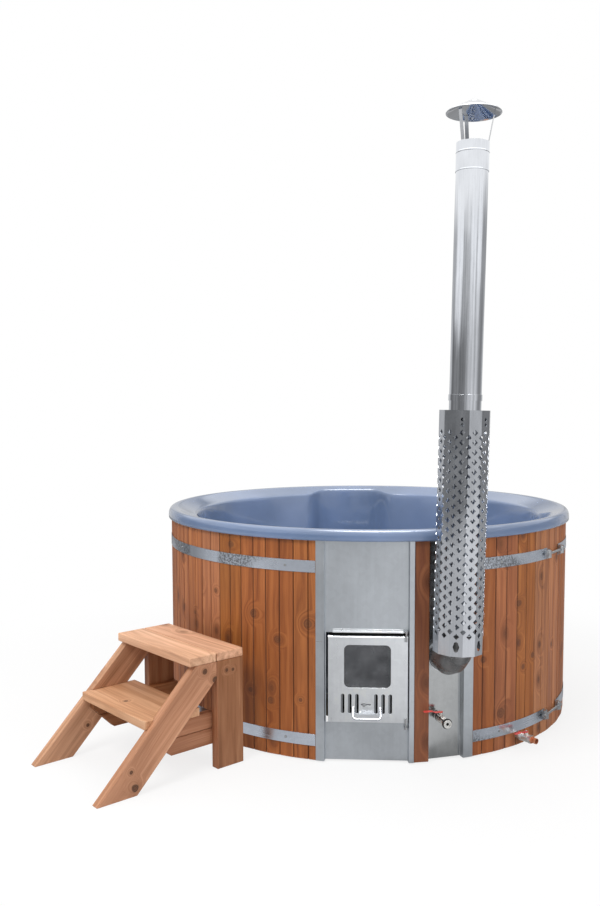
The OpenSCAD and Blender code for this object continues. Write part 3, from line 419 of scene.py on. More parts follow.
def sheet_steel(name, base, rough, streak, edge=0.0012, spangle=0.05, dirt=0.0):
    """Rolled sheet: faint spangle, wipe marks and smudges, and stretches of dirt.

    streak holds the wipe marks' factors across the sheet and up it.
    """
    k = Surface(name)
    here = k.coords()
    flow = k.noise(k.scaled(here, streak[0], streak[0], streak[1]), 4.0, 0.6)
    smudge = k.noise(k.scaled(here, 5.0, 5.0, 3.0), 4.0, 0.55)
    cell = k.red(k.cells(k.scaled(here, 55.0, 55.0, 55.0), "Color"))
    level = k.add(k.spread(smudge, 0.90, 1.06),
                  k.add(k.spread(flow, -0.02, 0.02), k.mul(cell, spangle)))
    colour = k.darker((*base, 1.0), level)
    if dirt:
        stretch = k.noise(k.scaled(here, 2.4, 2.4, 3.0), 2.0)
        speck = k.noise(k.scaled(here, 130.0, 130.0, 130.0), 3.0, 0.6)
        grime = k.mul(k.span(stretch, 0.53, 0.60), k.span(speck, 0.42, 0.58, 0.25, 1.0))
        colour = k.blend(k.mul(grime, dirt), colour, col(88, 86, 84))
    worn = k.add(k.mul(smudge, 0.7), k.mul(flow, 0.3))
    k.set(
        Base_Color=colour,
        Metallic=1.0,
        Roughness=k.spread(worn, rough - 0.07, rough + 0.08),
        Normal=k.bump(flow, 0.0004, 0.08, k.rounded(edge)),
    )
    return k.mat


def mirror_steel(name, base, rough, dents=0.5, edge=0.0008):
    """Bright metal: a mirror with soft waves, fine wipe marks and a light haze."""
    k = Surface(name)
    here = k.coords()
    wave = k.noise(k.scaled(here, 7.0, 7.0, 2.2), 2.0)
    wipe = k.noise(k.scaled(here, 260.0, 260.0, 9.0), 3.0, 0.6)
    haze = k.noise(k.scaled(here, 14.0, 14.0, 6.0), 5.0, 0.6)
    level = k.add(k.spread(haze, 0.93, 1.04), k.spread(wipe, -0.03, 0.03))
    height = k.add(wave, k.mul(wipe, 0.01))
    k.set(
        Base_Color=k.darker((*base, 1.0), level),
        Metallic=1.0,
        Roughness=k.span(haze, 0.3, 0.75, rough * 0.7, rough * 1.5),
        Normal=k.bump(height, 0.006, dents, k.rounded(edge) if edge else None),
    )
    return k.mat


def gelcoat():
    """Glossy moulding, blue grey with a fine fleck and soft unevenness."""
    k = Surface("gelcoat")
    here = k.coords()
    fleck = k.noise(k.scaled(here, 900.0, 900.0, 900.0), 2.0, 0.7)
    cloud = k.noise(k.scaled(here, 3.0, 3.0, 3.0), 3.0)
    mixed = k.add(k.mul(fleck, 0.25), k.mul(cloud, 0.75))
    k.set(
        Base_Color=k.ramp(mixed, [(0.35, rgb(97, 116, 147)), (0.65, rgb(112, 132, 167))]),
        Roughness=k.spread(cloud, 0.08, 0.16),
        Normal=k.bump(cloud, 0.004, 0.2),
        Coat_Weight=1.0,
        Coat_Roughness=0.03,
    )
    return k.mat


def painted(name, dark, light, rough, scale, depth, metal=0.0, coat=0.0):
    """Coated or cast surface with mottled tone and a fine skin."""
    k = Surface(name)
    point = k.vec(*k.coords())
    mottle = k.noise(point, 5.0, 0.6, scale)
    skin = k.noise(point, 2.0, 0.6, scale * 12)
    k.set(
        Base_Color=k.ramp(mottle, [(0.35, dark), (0.68, light)]),
        Metallic=metal,
        Roughness=k.spread(mottle, rough - 0.08, rough + 0.08),
        Normal=k.bump(k.add(mottle, k.mul(skin, 0.5)), depth, 0.6, k.rounded(0.001)),
        Coat_Weight=coat,
    )
    return k.mat


def sooty_glass():
    """Half clear glass with a film of soot."""
    k = Surface("sooty_glass")
    soot = k.noise(k.scaled(k.coords(HEATER_TURN), 9.0, 9.0, 12.0), 5.0, 0.6)
    k.set(
        Base_Color=k.ramp(soot, [(0.3, rgb(62, 64, 68)), (0.7, rgb(98, 100, 104))]),
        Roughness=k.spread(soot, 0.08, 0.22),
        Alpha=k.spread(soot, 0.62, 0.82),
        Specular_IOR_Level=0.6,
    )
    return k.mat


MATS = {
    "wall": wall_wood(),
    "front": plank_wood("stained_front_board", FRONT_AZ, "z", SHADED, 5.0),
    "sawn": plank_wood("sawn_softwood", 42.0, "z", SAWN, 2.0, knots=1.2),
    "tread_top_a": plank_wood("oiled_tread_front", STEP_TURN, "x", TREAD, 3.0, knots=1.3),
    "tread_top_b": plank_wood("oiled_tread_back", STEP_TURN, "x", TREAD, 8.0, knots=1.1),
    "tread_low": plank_wood("oiled_tread_low", STEP_TURN, "x", TREAD, 12.0, knots=0.8,
                            spots=LOW_KNOTS),
    "rails": plank_wood("oiled_rails", STEP_TURN, "y", OILED, 21.0, pitch=0.08),
    "legs": plank_wood("oiled_legs", STEP_TURN, "z", OILED, 31.0, 0.8, 0.3, LEG_KNOTS),
    "strings": plank_wood("oiled_strings", STEP_TURN, "slope", PLANK, 44.0, 0.8, 0.3,
                          STRING_KNOTS),
    "sheet": sheet_steel("satin_sheet", rgb(206, 211, 216), 0.38, (70.0, 2.0)),
    "flue_sheet": sheet_steel("bright_sheet", rgb(190, 192, 192), 0.22, (40.0, 2.0)),
    # The damper's grey is painted shade: the same steel as the other sheet, set darker because the
    # plate lies in shade behind the slots
    "damper": sheet_steel("damper_sheet_painted_shade", rgb(150, 153, 156), 0.45, (40.0, 2.0)),
    "door": sheet_steel("door_sheet", rgb(244, 247, 250), 0.31, (60.0, 3.0), edge=0.002),
    "hoop": sheet_steel("hoop_band", rgb(218, 225, 236), 0.24, (6.0, 220.0), edge=0.0008,
                        dirt=0.75),
    "zinc": sheet_steel("zinc_plate", rgb(190, 192, 194), 0.30, (90.0, 90.0), edge=0.0008,
                        spangle=0.02),
    "mirror": mirror_steel("bright_pipe", rgb(228, 231, 236), 0.035),
    "guard": mirror_steel("bright_guard", rgb(208, 211, 216), 0.12, dents=0.8, edge=None),
    "cap": mirror_steel("bright_cap", rgb(205, 207, 210), 0.12),
    "nickel": mirror_steel("nickel_plate", rgb(228, 227, 223), 0.30, dents=0.2),
    "elbow": painted("elbow_sheet", rgb(104, 104, 105), rgb(136, 136, 136), 0.30, 16.0, 0.0002,
                     metal=0.72),
    "copper": painted("copper_tail", rgb(206, 130, 92), rgb(232, 166, 128), 0.28, 60.0, 0.0002,
                      metal=0.6),
    "stove": painted("stove_plate", rgb(34, 34, 37), rgb(66, 64, 64), 0.55, 18.0, 0.0006,
                     metal=0.6),
    "iron": painted("grate_iron", rgb(22, 22, 23), rgb(44, 40, 38), 0.7, 40.0, 0.0012, metal=0.3),
    "plastic": painted("pipe_plastic", rgb(176, 178, 180), rgb(196, 198, 200), 0.45, 20.0,
                       0.0002),
    "red": painted("dipped_lever", rgb(214, 52, 46), rgb(236, 80, 70), 0.34, 60.0, 0.0003,
                   coat=0.5),
    "rubber": painted("strap_rubber", rgb(20, 20, 21), rgb(38, 38, 40), 0.6, 50.0, 0.0003),
    "shell": gelcoat(),
    "glass": sooty_glass(),
}
WEARS = {
    "wall": ["wall_boards"],
    "front": ["front_board"],
    "sawn": ["base_boards", "base_joists", "frame_rings", "frame_posts"],
    "tread_top_a": ["top_tread_front"],
    "tread_top_b": ["top_tread_back"],
    "tread_low": ["lower_tread"],
    "rails": ["step_rails"],
    "legs": ["step_legs"],
    "strings": ["step_strings"],
    "sheet": ["heater_panel", "heater_trim_left", "heater_trim_right", "flue_trim",
              "guard_spacers"],
    "flue_sheet": ["flue_panel"],
    "damper": ["air_damper"],
    "door": ["door_panel", "drip_lip"],
    "hoop": ["hoop_upper", "hoop_lower"],
    "zinc": ["hoop_lugs", "hoop_bolts", "hoop_screws", "hinge_eyes", "door_hinge_pins",
             "heater_valve_nipple", "air_damper_knob"],
    "mirror": ["flue_pipe_lower", "flue_pipe_upper", "flue_joint_ring", "rain_cap_collar",
               "flue_rosette", "water_fittings", "floor_drain", "door_handle"],
    "guard": ["chimney_guard"],
    "cap": ["rain_cap", "rain_cap_legs"],
    "nickel": ["drain_valve_body", "heater_valve_body", "heater_valve_cap", "drain_valve_ball",
               "heater_valve_ball"],
    "elbow": ["flue_elbow"],
    "copper": ["drain_valve_outlet"],
    "stove": ["stove_body", "stove_mouth", "stove_rails", "door_glass_frame"],
    "iron": ["stove_grate"],
    "plastic": ["drain_pipe"],
    "red": ["drain_valve_lever", "heater_valve_lever"],
    "rubber": ["heater_valve_strap"],
    "shell": ["shell"],
    "glass": ["door_glass"],
}

for key, names in WEARS.items():
    for name in names:
        slots = frame["nodes"][name].data.materials
        slots.clear()
        slots.append(MATS[key])


# ---- tools for the pieces that stand for a CAD node -------------------------

BODY_OF = {n: b for b, ns in frame["record"]["behaviour"]["bodies"].items() for n in ns}
SAME_POINT = 1e-5        # points nearer than this are one
TURN_STEPS = 40          # sides of a turned piece


def new_mesh(name, verts, faces, material):
    mesh = bpy.data.meshes.new(name)
    mesh.from_pydata(verts, [], faces)
    mesh.materials.append(material)
    return mesh


def add_object(name, data):
    obj = bpy.data.objects.new(name, data)
    bpy.context.scene.collection.objects.link(obj)
    return obj


def stand_for(name, mesh, node):
    """An object on the node's body that takes the node's place in the looks."""
    obj = add_object(name, mesh)
    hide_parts(node)
    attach(obj, BODY_OF[node])
    return obj


def merge_points(bm):
    bmesh.ops.remove_doubles(bm, verts=bm.verts, dist=SAME_POINT)


def join_flat_faces(bm):
    bmesh.ops.dissolve_limit(bm, angle_limit=math.radians(0.5), verts=bm.verts, edges=bm.edges)


def face_outward(bm):
    bmesh.ops.recalc_face_normals(bm, faces=bm.faces)


def work(mesh, *steps, source=None):
    """Runs bmesh steps on a mesh, or on a source's points and faces into the mesh."""
    bm = bmesh.new()
    bm.from_mesh(source if source else mesh)
    for step in steps:
        step(bm)
    bm.to_mesh(mesh)
    bm.free()


def smooth_faces(mesh):
    for poly in mesh.polygons:
        poly.use_smooth = True


def round_edges(obj, width, segments=3):
    """Rounds the edges that turn by over 30 degrees."""
    mod = obj.modifiers.new("edge", "BEVEL")
    mod.width, mod.segments = width, segments
    mod.limit_method, mod.angle_limit = "ANGLE", math.radians(30)
    smooth_faces(obj.data)
    obj.modifiers.new("flow", "WEIGHTED_NORMAL").keep_sharp = True


def thicken(obj, thickness):
    """Gives a surface its thickness, on the side away from its normals."""
    skin = obj.modifiers.new("skin", "SOLIDIFY")
    skin.thickness = thickness
    skin.offset = -1.0


def boards(name, parts, matrix, material, node, width=0.003):
    """Boards cut to outlines in Y and Z, each from x0 to x1, in the matrix's frame."""
    verts, faces = [], []
    for x0, x1, outline in parts:
        start, n = len(verts), len(outline)
        verts += [matrix @ Vector((x, y, z)) for x in (x0, x1) for y, z in outline]
        faces.append(tuple(range(start + n - 1, start - 1, -1)))
        faces.append(tuple(range(start + n, start + 2 * n)))
        for i in range(n):
            after = (i + 1) % n
            faces.append((start + i, start + after, start + n + after, start + n + i))
    mesh = new_mesh(name, verts, faces, material)
    work(mesh, face_outward)
    round_edges(stand_for(name, mesh, node), width)


def turned(name, profile, matrix, material, node):
    """A piece turned about the matrix's Y axis, from radii and distances along -Y."""
    n, m = TURN_STEPS, len(profile)
    verts = [matrix @ Vector((r * math.cos(turn), -d, r * math.sin(turn)))
             for turn in (2 * math.pi * i / n for i in range(n)) for r, d in profile]
    faces = []
    for i in range(n):
        this, after = i * m, (i + 1) % n * m
        faces += [(this + j, this + (j + 1) % m, after + (j + 1) % m, after + j)
                  for j in range(m)]
    mesh = new_mesh(name, verts, faces, material)
    work(mesh, face_outward)
    round_edges(stand_for(name, mesh, node), 0.0006, 2)


# ---- wood of the steps with worked edges ------------------------------------

for node, width in (("top_tread_front", 0.004), ("top_tread_back", 0.004),
                    ("lower_tread", 0.004), ("step_strings", 0.003), ("step_legs", 0.003)):
    source = frame["nodes"][node].data
    mesh = bpy.data.meshes.new(node + "_worked")
    work(mesh, merge_points, join_flat_faces, source=source)
    mesh.materials.append(source.materials[0])
    round_edges(stand_for(node + "_worked", mesh, node), width)


# ---- moulded shell ----------------------------------------------------------

RIM_R, RIM_H = 1.016, 0.995      # the rim's outer radius and its crest
LIP_H = 0.048            # height of the lip that hangs over the boards
SHELL_T = 0.006
SHELL_STEPS = 144        # sections round the shell
TOP_R = 0.9307           # wall of the moulding under the rim
TOP_DROP = 0.016         # from the crest down to the rim's inner edge
BAND_W, BAND_DROP = 0.058, 0.022     # how much further in and down it lies over a seat
SEAT_H, SHELF_H = 0.480, 0.800   # seats, and the shelf over the stove
BACK_IN, REST_IN = 0.040, 0.030      # how far the wall leans in, and a seat's back further
SEAT_D = 0.060           # depth of the ledge left at the wall in a gap
WELL_R, FOOT_IN = 0.470, 0.028   # footwell: radius at the seats and how far it narrows
FLOOR_Z = 0.1013
DRAIN_R = 0.120          # flat of the floor round the drain
GAPS = (67, 187, 307)    # azimuths of the gaps between the seats
GAP_HALF, GAP_RAMP = 10, 7
STOVE_AZ, STOVE_HALF = 5.5, 30   # the bulkhead round the stove


def ease(lo, hi, value):
    t = min(max((value - lo) / (hi - lo), 0.0), 1.0)
    return t * t * (3 - 2 * t)


def turn_between(a, b):
    return abs((a - b + 180) % 360 - 180)


def shell_section(az):
    """Radii and heights of the moulding's face at an azimuth, from the lip to the floor."""
    seat = ease(GAP_HALF, GAP_HALF + GAP_RAMP, min(turn_between(az, gap) for gap in GAPS))
    bulk = 1 - ease(STOVE_HALF, STOVE_HALF + GAP_RAMP, turn_between(az, STOVE_AZ))
    top_r = TOP_R - BAND_W * seat
    top_z = RIM_H - TOP_DROP - BAND_DROP * seat
    back = top_r - BACK_IN - REST_IN * seat
    ledge = back - SEAT_D
    well = ledge + (WELL_R - ledge) * max(seat, bulk)
    seat_z = SEAT_H + (SHELF_H - SEAT_H) * bulk
    foot = well - FOOT_IN
    lip = [(RIM_R, RIM_H - LIP_H), (RIM_R + 0.0005, RIM_H - 0.036), (RIM_R, RIM_H - 0.024)]
    roll = [(RIM_R - 0.005, RIM_H - 0.010), (RIM_R - 0.014, RIM_H - 0.002),
            (RIM_R - 0.027, RIM_H), (RIM_R - 0.041, RIM_H - 0.003),
            (RIM_R - 0.057, RIM_H - 0.009), (top_r + 0.016, top_z + 0.003),
            (top_r + 0.005, top_z), (top_r - 0.001, top_z - 0.008)]
    wall = [(top_r - 0.005, top_z - 0.024),
            ((top_r - 0.005 + back) / 2, (top_z - 0.024 + seat_z + 0.060) / 2),
            (back + 0.004, seat_z + 0.040), (back - 0.003, seat_z + 0.012)]
    bench = [(back - 0.016, seat_z + 0.001), (well + 0.026, seat_z - 0.003),
             (well + 0.008, seat_z - 0.008), (well, seat_z - 0.024)]
    floor = [(foot, FLOOR_Z + 0.022), (foot - 0.007, FLOOR_Z + 0.007),
             (foot - 0.022, FLOOR_Z + 0.001), (DRAIN_R, FLOOR_Z)]
    return lip + roll + wall + bench + floor


def moulded_shell():
    """The shell's sections joined round the tub and closed by the floor."""
    n = SHELL_STEPS
    rows = [shell_section(i * 360 / n) for i in range(n)]
    m = len(rows[0])
    verts = []
    for i, row in enumerate(rows):
        az = 2 * math.pi * i / n
        verts += [(r * math.sin(az), -r * math.cos(az), z) for r, z in row]
    faces = []
    for i in range(n):
        this, after = i * m, (i + 1) % n * m
        faces += [(this + j, after + j, after + j + 1, this + j + 1) for j in range(m - 1)]
    faces.append(tuple(i * m + m - 1 for i in range(n)))
    obj = stand_for("moulded_shell", new_mesh("moulded_shell", verts, faces, MATS["shell"]),
                    "shell")
    smooth_faces(obj.data)
    smooth = obj.modifiers.new("smooth", "SUBSURF")
    smooth.levels = smooth.render_levels = 1
    thicken(obj, SHELL_T)


# ---- chimney guard ----------------------------------------------------------

GUARD_D, GUARD_H, GUARD_T = 0.198, 0.977, 0.0015
GUARD_Z = 0.509          # its lower edge over the ground
GUARD_SIDES = 12         # folded sides, with a column of holes on each and one on each fold
HOLE, PITCH = 0.017, 0.0385      # side of a square hole, and rise from hole to hole
FIRST_HOLE, HOLE_ROWS = 0.081, 22
KEY_R, KEY_HALF = 0.009, 0.012   # fixing slot: radius of its ends, half its straight length
KEY_Z = 0.039            # its middle over the guard's lower edge
EYE_R = KEY_R * 0.8      # round fixing holes, and how far two of them lie under the top edge
EYE_DROPS = (0.057, 0.036)
FIXINGS = (4, 8, 16, 20)         # columns that have fixing slots and holes
ARC_STEPS = 5            # edges in a quarter of a round


def arc(radius, half_l, quarter):
    """Quarter of a round-ended slot's outline: 0 to 3 from its lower end, anticlockwise."""
    points = []
    for i in range(ARC_STEPS + 1):
        t = math.radians(-90 + 90 * quarter + 90 * i / ARC_STEPS)
        end = (-1, 1, 1, -1)[quarter]
        points.append((radius * math.cos(t), radius * math.sin(t) + half_l * end))
    return points


def guard_tube():
    """Twelve-sided folded sheet with staggered square holes on its faces and folds."""
    flat = GUARD_D / 2
    side = 2 * flat * math.tan(math.pi / GUARD_SIDES)
    half = side / 4
    verts, faces = [], []

    def point(s, z):
        """The point at a distance s along the sheet and a height z over its lower edge."""
        k = math.floor(s / side + 0.5)
        u, a = s - k * side, 2 * math.pi * k / GUARD_SIDES
        return ON_CHIMNEY @ Vector((flat * math.cos(a) - u * math.sin(a),
                                    flat * math.sin(a) + u * math.cos(a),
                                    GUARD_Z - FLUE_Z + z))

    def cell(column, low, mid, high, quarters):
        """A column's stretch from low to high, in four parts round a hole or a middle point."""
        corners = [[(0, low), (half, low), (half, mid)], [(half, mid), (half, high), (0, high)],
                   [(0, high), (-half, high), (-half, mid)], [(-half, mid), (-half, low), (0, low)]]
        for corner, hole in zip(corners, quarters):
            outline = corner + [(u, mid + z) for u, z in reversed(hole)]
            start = len(verts)
            verts.extend(point(column * 2 * half + u, z) for u, z in outline)
            faces.append(tuple(range(start, start + len(outline))))

    d = HOLE * math.sqrt(0.5)
    square = [[(0, -d), (d, 0)], [(d, 0), (0, d)], [(0, d), (-d, 0)], [(-d, 0), (0, -d)]]
    plain = [[(0, 0)]] * 4
    slot = [arc(KEY_R, KEY_HALF, quarter) for quarter in range(4)]
    eye = [arc(EYE_R, 0.0, quarter) for quarter in range(4)]
    low = FIRST_HOLE - PITCH / 2
    top = low + HOLE_ROWS * PITCH
    lower_eye, upper_eye = (GUARD_H - drop for drop in EYE_DROPS)
    between = (lower_eye + upper_eye) / 2
    for c in range(2 * GUARD_SIDES):
        fixing, odd = c in FIXINGS, c % 2
        cell(c, 0, KEY_Z, low, slot if fixing else plain)
        for row in range(HOLE_ROWS - odd):
            mid = FIRST_HOLE + (row + odd / 2) * PITCH
            cell(c, mid - PITCH / 2, mid, mid + PITCH / 2, square)
        if odd:
            cell(c, low, low + PITCH / 4, low + PITCH / 2, plain)
            cell(c, top - PITCH / 2, top - PITCH / 4, top, plain)
        cell(c, top, lower_eye, between, eye if fixing else plain)
        cell(c, between, upper_eye, GUARD_H, eye if fixing else plain)
    mesh = new_mesh("guard_tube", verts, faces, MATS["guard"])
    work(mesh, merge_points)
    thicken(stand_for("guard_tube", mesh, "chimney_guard"), GUARD_T)


# ---- steps' side rails ------------------------------------------------------

RAIL_T, RAIL_Z, RAIL_TOP = 0.032, 0.098, 0.2357
RAIL_NOSE = 0.335        # reach of the lower edge from the steps' back
RAIL_CLIP = 0.100        # how much further the upper board reaches
RAIL_SEAM = 0.002        # open seam between a side's two boards
INNER = 0.2422           # half the width between the strings
CLEAT_NEAR, CLEAT_FAR = 0.093, 0.125     # cleat under the top treads: distances from the back
CLEAT_Z, CLEAT_TOP = 0.386, 0.4557


def side_rails():
    """Two boards inside each string, with noses cut along its slope, and the treads' cleat."""
    seam = (RAIL_Z + RAIL_TOP) / 2
    seam_low, seam_high = seam - RAIL_SEAM / 2, seam + RAIL_SEAM / 2
    mid_nose = RAIL_NOSE + (seam - RAIL_Z)
    end = RAIL_NOSE + RAIL_CLIP
    lower = [(0, RAIL_Z), (0, seam_low), (-mid_nose, seam_low), (-RAIL_NOSE, RAIL_Z)]
    upper = [(0, seam_high), (0, RAIL_TOP), (-end, RAIL_TOP), (-end, RAIL_Z + RAIL_CLIP),
             (-mid_nose, seam_high)]
    cleat = [(-CLEAT_FAR, CLEAT_Z), (-CLEAT_FAR, CLEAT_TOP), (-CLEAT_NEAR, CLEAT_TOP),
             (-CLEAT_NEAR, CLEAT_Z)]
    parts = [(side * INNER, side * (INNER - RAIL_T), outline)
             for side in (-1, 1) for outline in (lower, upper)]
    boards("side_rails", parts + [(-INNER, INNER, cleat)], ON_STEPS, MATS["rails"], "step_rails")


# ---- hose end of the heater valve -------------------------------------------

ADAPTER = [              # radius, and distance out from the valve's body
    (0.008, 0.0005), (0.0155, 0.0005), (0.0155, 0.006), (0.0125, 0.008), (0.0125, 0.013),
    (0.0140, 0.014), (0.0140, 0.016), (0.0125, 0.018), (0.0125, 0.0235), (0.008, 0.0235),
]
CAP = [
    (0.008, 0.024), (0.0170, 0.024), (0.0180, 0.025), (0.0185, 0.030), (0.0200, 0.031),
    (0.0200, 0.035), (0.0185, 0.036), (0.0185, 0.047), (0.0175, 0.049), (0.0150, 0.050),
    (0.0110, 0.050), (0.0100, 0.046), (0.0060, 0.046), (0.0060, 0.0245),
]
STRAP_T = 0.003          # thickness of the rubber
LOOP_W, STRAP_W = 0.004, 0.005   # width of its rings and of the band between them
LOOPS = (("strap_loop_body", 0.0155, -0.045), ("strap_loop_cap", 0.0187, 0.038))
BAND_R = 0.0205          # distance of the band from the valve's axis, and its reach along it
BAND_FROM, BAND_TO = -0.046, 0.043
BAND_SIDE = -50          # turn about the valve's axis to the side where the band lies


def heater_hose_end():
    """Hose adapter with its ridged cap, and the strap that keeps the cap."""
    turned("hose_adapter", ADAPTER, ON_TAP, MATS["nickel"], "heater_valve_cap")
    turned("hose_cap", CAP, ON_TAP, MATS["nickel"], "heater_valve_cap")
    for name, r, at in LOOPS:
        ring = [(r, at), (r + STRAP_T, at), (r + STRAP_T, at + LOOP_W), (r, at + LOOP_W)]
        turned(name, ring, ON_TAP, MATS["rubber"], "heater_valve_strap")
    lean = ON_TAP @ Matrix.Rotation(math.radians(BAND_SIDE), 4, "Y")
    band = [(-BAND_FROM, BAND_R), (-BAND_TO, BAND_R), (-BAND_TO, BAND_R + STRAP_T),
            (-BAND_FROM, BAND_R + STRAP_T)]
    boards("strap_band", [(-STRAP_W / 2, STRAP_W / 2, band)], lean, MATS["rubber"],
           "heater_valve_strap", 0.0008)


moulded_shell()
guard_tube()
side_rails()
heater_hose_end()


# ---- stage ------------------------------------------------------------------

WHITE = (1.0, 1.0, 1.0, 1.0)
FLOOR_HALF = 40.0
FLOOR_DROP = 0.0005      # floor under the ground plane, so that the pieces' feet show
FLOOR_GREY = 0.86
SHADOW_R, CLEAR_R = 1.4, 2.8     # the floor's own shading fades out between these radii
SHADOW_WHITE = 0.80      # share of plain white inside them

# The cards stand round the chimney. Their tones go by the bearing from it.
CARD_CENTRE = Vector((0.37, -1.05, 0.0))
CARD_STEPS, CARD_R, CARD_H = 96, 9.0, 6.5
CARD_LIFT = 0.0003       # the floor card over the ground plane
HIGH_TONES = [
    (-180, 0.50), (-112, 0.50), (-102, 1.0), (-56, 1.0), (-50, 0.50), (-14, 0.56), (0, 0.72),
    (12, 1.0), (42, 1.0), (48, 0.62), (56, 1.0), (82, 1.0), (88, 0.40), (140, 0.36), (180, 0.50),
]
LOW_TONES = [
    (-180, 0.62), (-138, 0.60), (-122, 0.20), (-112, 0.16), (-98, 0.24), (-62, 0.26),
    (-52, 0.18), (-14, 0.24), (0, 0.46), (16, 0.64), (44, 0.72), (52, 0.46), (62, 0.68),
    (80, 0.50), (92, 0.28), (122, 0.28), (138, 0.60), (180, 0.62),
]
FLOOR_TONES = [
    (-180, 0.34), (-112, 0.30), (-98, 0.58), (-66, 0.62), (-56, 0.46), (-30, 0.46), (-6, 0.72),
    (4, 0.90), (46, 0.86), (74, 0.70), (88, 0.44), (140, 0.42), (180, 0.34),
]
LOW_TOP = (2.9, 4.0)     # heights between which the low tones give way to the high ones
HIGH_TOP = (4.3, 5.3)    # and these to white
SKY_Z, SKY_SHARE = 7.5, 0.75     # the sky card's height, and its radius by the ring's
SKY_R = (1.3, 2.9)       # its glow falls off between these radii
SKY_GLOW = (12.0, 1.8)


def stage_floor():
    """White ground that keeps the object's shadow."""
    s = FLOOR_HALF
    k = Surface("floor_white")
    x, y = k.coords()[:2]
    k.set(Base_Color=(FLOOR_GREY, FLOOR_GREY, FLOOR_GREY, 1.0), Roughness=0.9,
          Specular_IOR_Level=0.0)
    plain = k.mul(k.seen(), k.span(k.length(x, y), SHADOW_R, CLEAR_R, SHADOW_WHITE, 1.0))
    ins = {0: plain, 1: k.bsdf.outputs[0], 2: k.glow(WHITE, 1.0)}
    k.show(k.node("ShaderNodeMixShader", ins).outputs[0])
    square = [(-s, -s, 0), (s, -s, 0), (s, s, 0), (-s, s, 0)]
    obj = add_object("floor", new_mesh("floor", square, [(0, 1, 2, 3)], k.mat))
    obj.location.z = -FLOOR_DROP


def glossy_only(obj):
    """Seen in bright surfaces alone, as a studio's cards are."""
    obj.visible_camera = False
    obj.visible_diffuse = False
    obj.visible_shadow = False
    obj.visible_transmission = False


def greys(tones):
    """Stops for a ramp round the compass, from bearings and tones, a little cool."""
    return [((bearing + 180) / 360, (v, v * 1.005, v * 1.02)) for bearing, v in tones]


def card_nodes(name):
    """A card's nodes, its coordinates, a slow waver, and the bearing as a part of a turn."""
    k = Surface(name)
    here = k.coords()
    waver = k.noise(k.scaled(here, 0.5, 0.5, 0.8), 3.0, 0.6)
    bearing = k.mul(k.azimuth(*here[:2]), 1 / (2 * math.pi))
    return k, here, waver, k.add(bearing, k.spread(waver, 0.492, 0.508))


def ring_tones():
    """Low tones, high tones over them, then white, with faint upright streaks."""
    k, here, waver, bearing = card_nodes("card_ring_grey")
    up = k.add(here[2], k.mul(waver, 1.2))
    streak = k.noise(k.scaled(here, 2.2, 2.2, 0.2), 3.0, 0.6)
    low, high = k.ramp(bearing, greys(LOW_TONES)), k.ramp(bearing, greys(HIGH_TONES))
    tone = k.blend(k.span(up, *LOW_TOP), low, high)
    tone = k.blend(k.span(streak, 0.5, 0.66, 0.0, 0.4), tone, col(60, 62, 64))
    k.show(k.glow(k.blend(k.span(up, *HIGH_TOP), tone, WHITE), 1.0))
    return k.mat


def floor_card_tones():
    """Grey that goes by the bearing, and a little darker close to the chimney."""
    k, here, _, bearing = card_nodes("card_floor_grey")
    tone = k.ramp(bearing, greys(FLOOR_TONES))
    near = k.blend(0.12, tone, col(60, 58, 56))
    k.show(k.glow(k.blend(k.span(k.length(*here[:2]), 0.3, 2.4), near, tone), 1.0))
    return k.mat


def sky_tones():
    """Bright overhead, and fading outwards."""
    k = Surface("card_sky_white")
    x, y = k.coords()[:2]
    k.show(k.glow(WHITE, k.span(k.length(x, y), *SKY_R, *SKY_GLOW)))
    return k.mat


def stage_cards():
    """A ring of cards far out and a sheet on the floor give the bright metal its dark and
    light streaks, and a sky card draws the highlights on the gelcoat's roll."""
    n = CARD_STEPS
    rim = [Vector((CARD_R * math.sin(turn), -CARD_R * math.cos(turn), 0))
           for turn in (2 * math.pi * i / n for i in range(n))]
    up = Vector((0, 0, CARD_H))
    disc = [tuple(range(n))]
    sides = [(i, (i + 1) % n, n + (i + 1) % n, n + i) for i in range(n)]
    for name, verts, faces, material, z in (
        ("card_ring", rim + [p + up for p in rim], sides, ring_tones(), 0.0),
        ("card_floor", rim, disc, floor_card_tones(), CARD_LIFT),
        ("card_sky", [p * SKY_SHARE for p in rim], disc, sky_tones(), SKY_Z),
    ):
        obj = add_object(name, new_mesh(name, verts, faces, material))
        obj.location = CARD_CENTRE + Vector((0, 0, z))
        glossy_only(obj)


# ---- light and camera -------------------------------------------------------

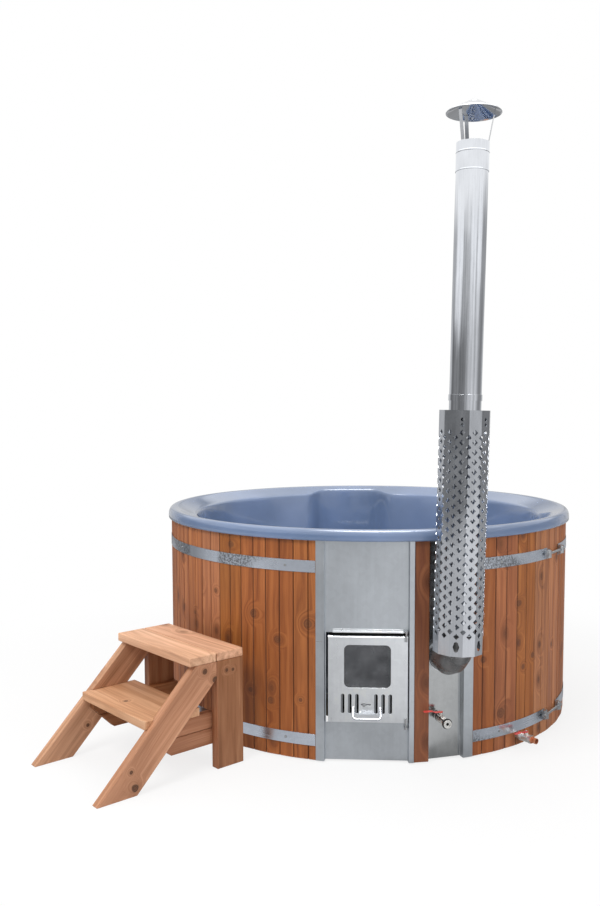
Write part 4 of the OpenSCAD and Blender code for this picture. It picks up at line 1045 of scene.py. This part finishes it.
WORLD_LIGHT = 0.62       # strength of the world on the object; it is seen as plain white
LAMPS = (                # name, place, aim, diameter and power
    ("key", (-2.6, -4.2, 5.2), (0, 0, 0.6), 2.6, 190),
    ("fill", (4.6, -3.4, 2.6), (0.2, 0, 0.7), 3.0, 60),
    ("top", (0.0, 0.6, 5.5), (0, 0, 0.8), 3.4, 90),
)
CAMERA_AT = Vector((0, -4.747, 1.523))
YAW, PITCH, ROLL = -0.0722, 0.0756, -0.0028      # radians; a positive pitch looks down
FOCAL_PX, SHIFT_PX, LONG_SIDE_PX = 914.4, 17.6, 906.0
SENSOR = 36.0            # millimetres, along the picture's long side


def world_light():
    """Plain white to the camera and in gloss and glass, and softer light on the object."""
    world = bpy.data.worlds.new("studio")
    bpy.context.scene.world = world
    world.use_nodes = True
    k = Kit(world.node_tree)
    strength = k.span(k.seen(), 0.0, 1.0, WORLD_LIGHT, 1.0, False)
    back = k.node("ShaderNodeBackground", {"Color": WHITE, "Strength": strength})
    k.node("ShaderNodeOutputWorld", {0: back.outputs[0]})


def lamp(name, place, aim, size, power):
    """A round lamp that shows in no mirror."""
    data = bpy.data.lights.new(name, "AREA")
    data.shape = "DISK"
    data.size = size
    data.energy = power
    obj = add_object(name, data)
    obj.location = place
    obj.rotation_mode = "QUATERNION"
    obj.rotation_quaternion = (Vector(aim) - Vector(place)).to_track_quat("-Z", "Y")
    obj.visible_glossy = False


def camera():
    """The photograph's camera."""
    ahead = Vector((math.sin(YAW) * math.cos(PITCH), math.cos(YAW) * math.cos(PITCH),
                    -math.sin(PITCH)))
    level = Vector((math.cos(YAW), -math.sin(YAW), 0))
    upright = level.cross(ahead)
    right = level * math.cos(ROLL) + upright * math.sin(ROLL)
    up = upright * math.cos(ROLL) - level * math.sin(ROLL)
    data = bpy.data.cameras.new("camera")
    data.sensor_fit = "AUTO"
    data.sensor_width = SENSOR
    data.lens = SENSOR * FOCAL_PX / LONG_SIDE_PX
    data.shift_y = SHIFT_PX / LONG_SIDE_PX
    data.clip_start = 0.05
    obj = add_object("camera", data)
    turn = Matrix((right, up, -ahead)).transposed().to_4x4()
    obj.matrix_world = Matrix.Translation(CAMERA_AT) @ turn
    bpy.context.scene.camera = obj


stage_floor()
stage_cards()
world_light()
for row in LAMPS:
    lamp(*row)
camera()

bpy.context.scene.view_settings.view_transform = "Standard"
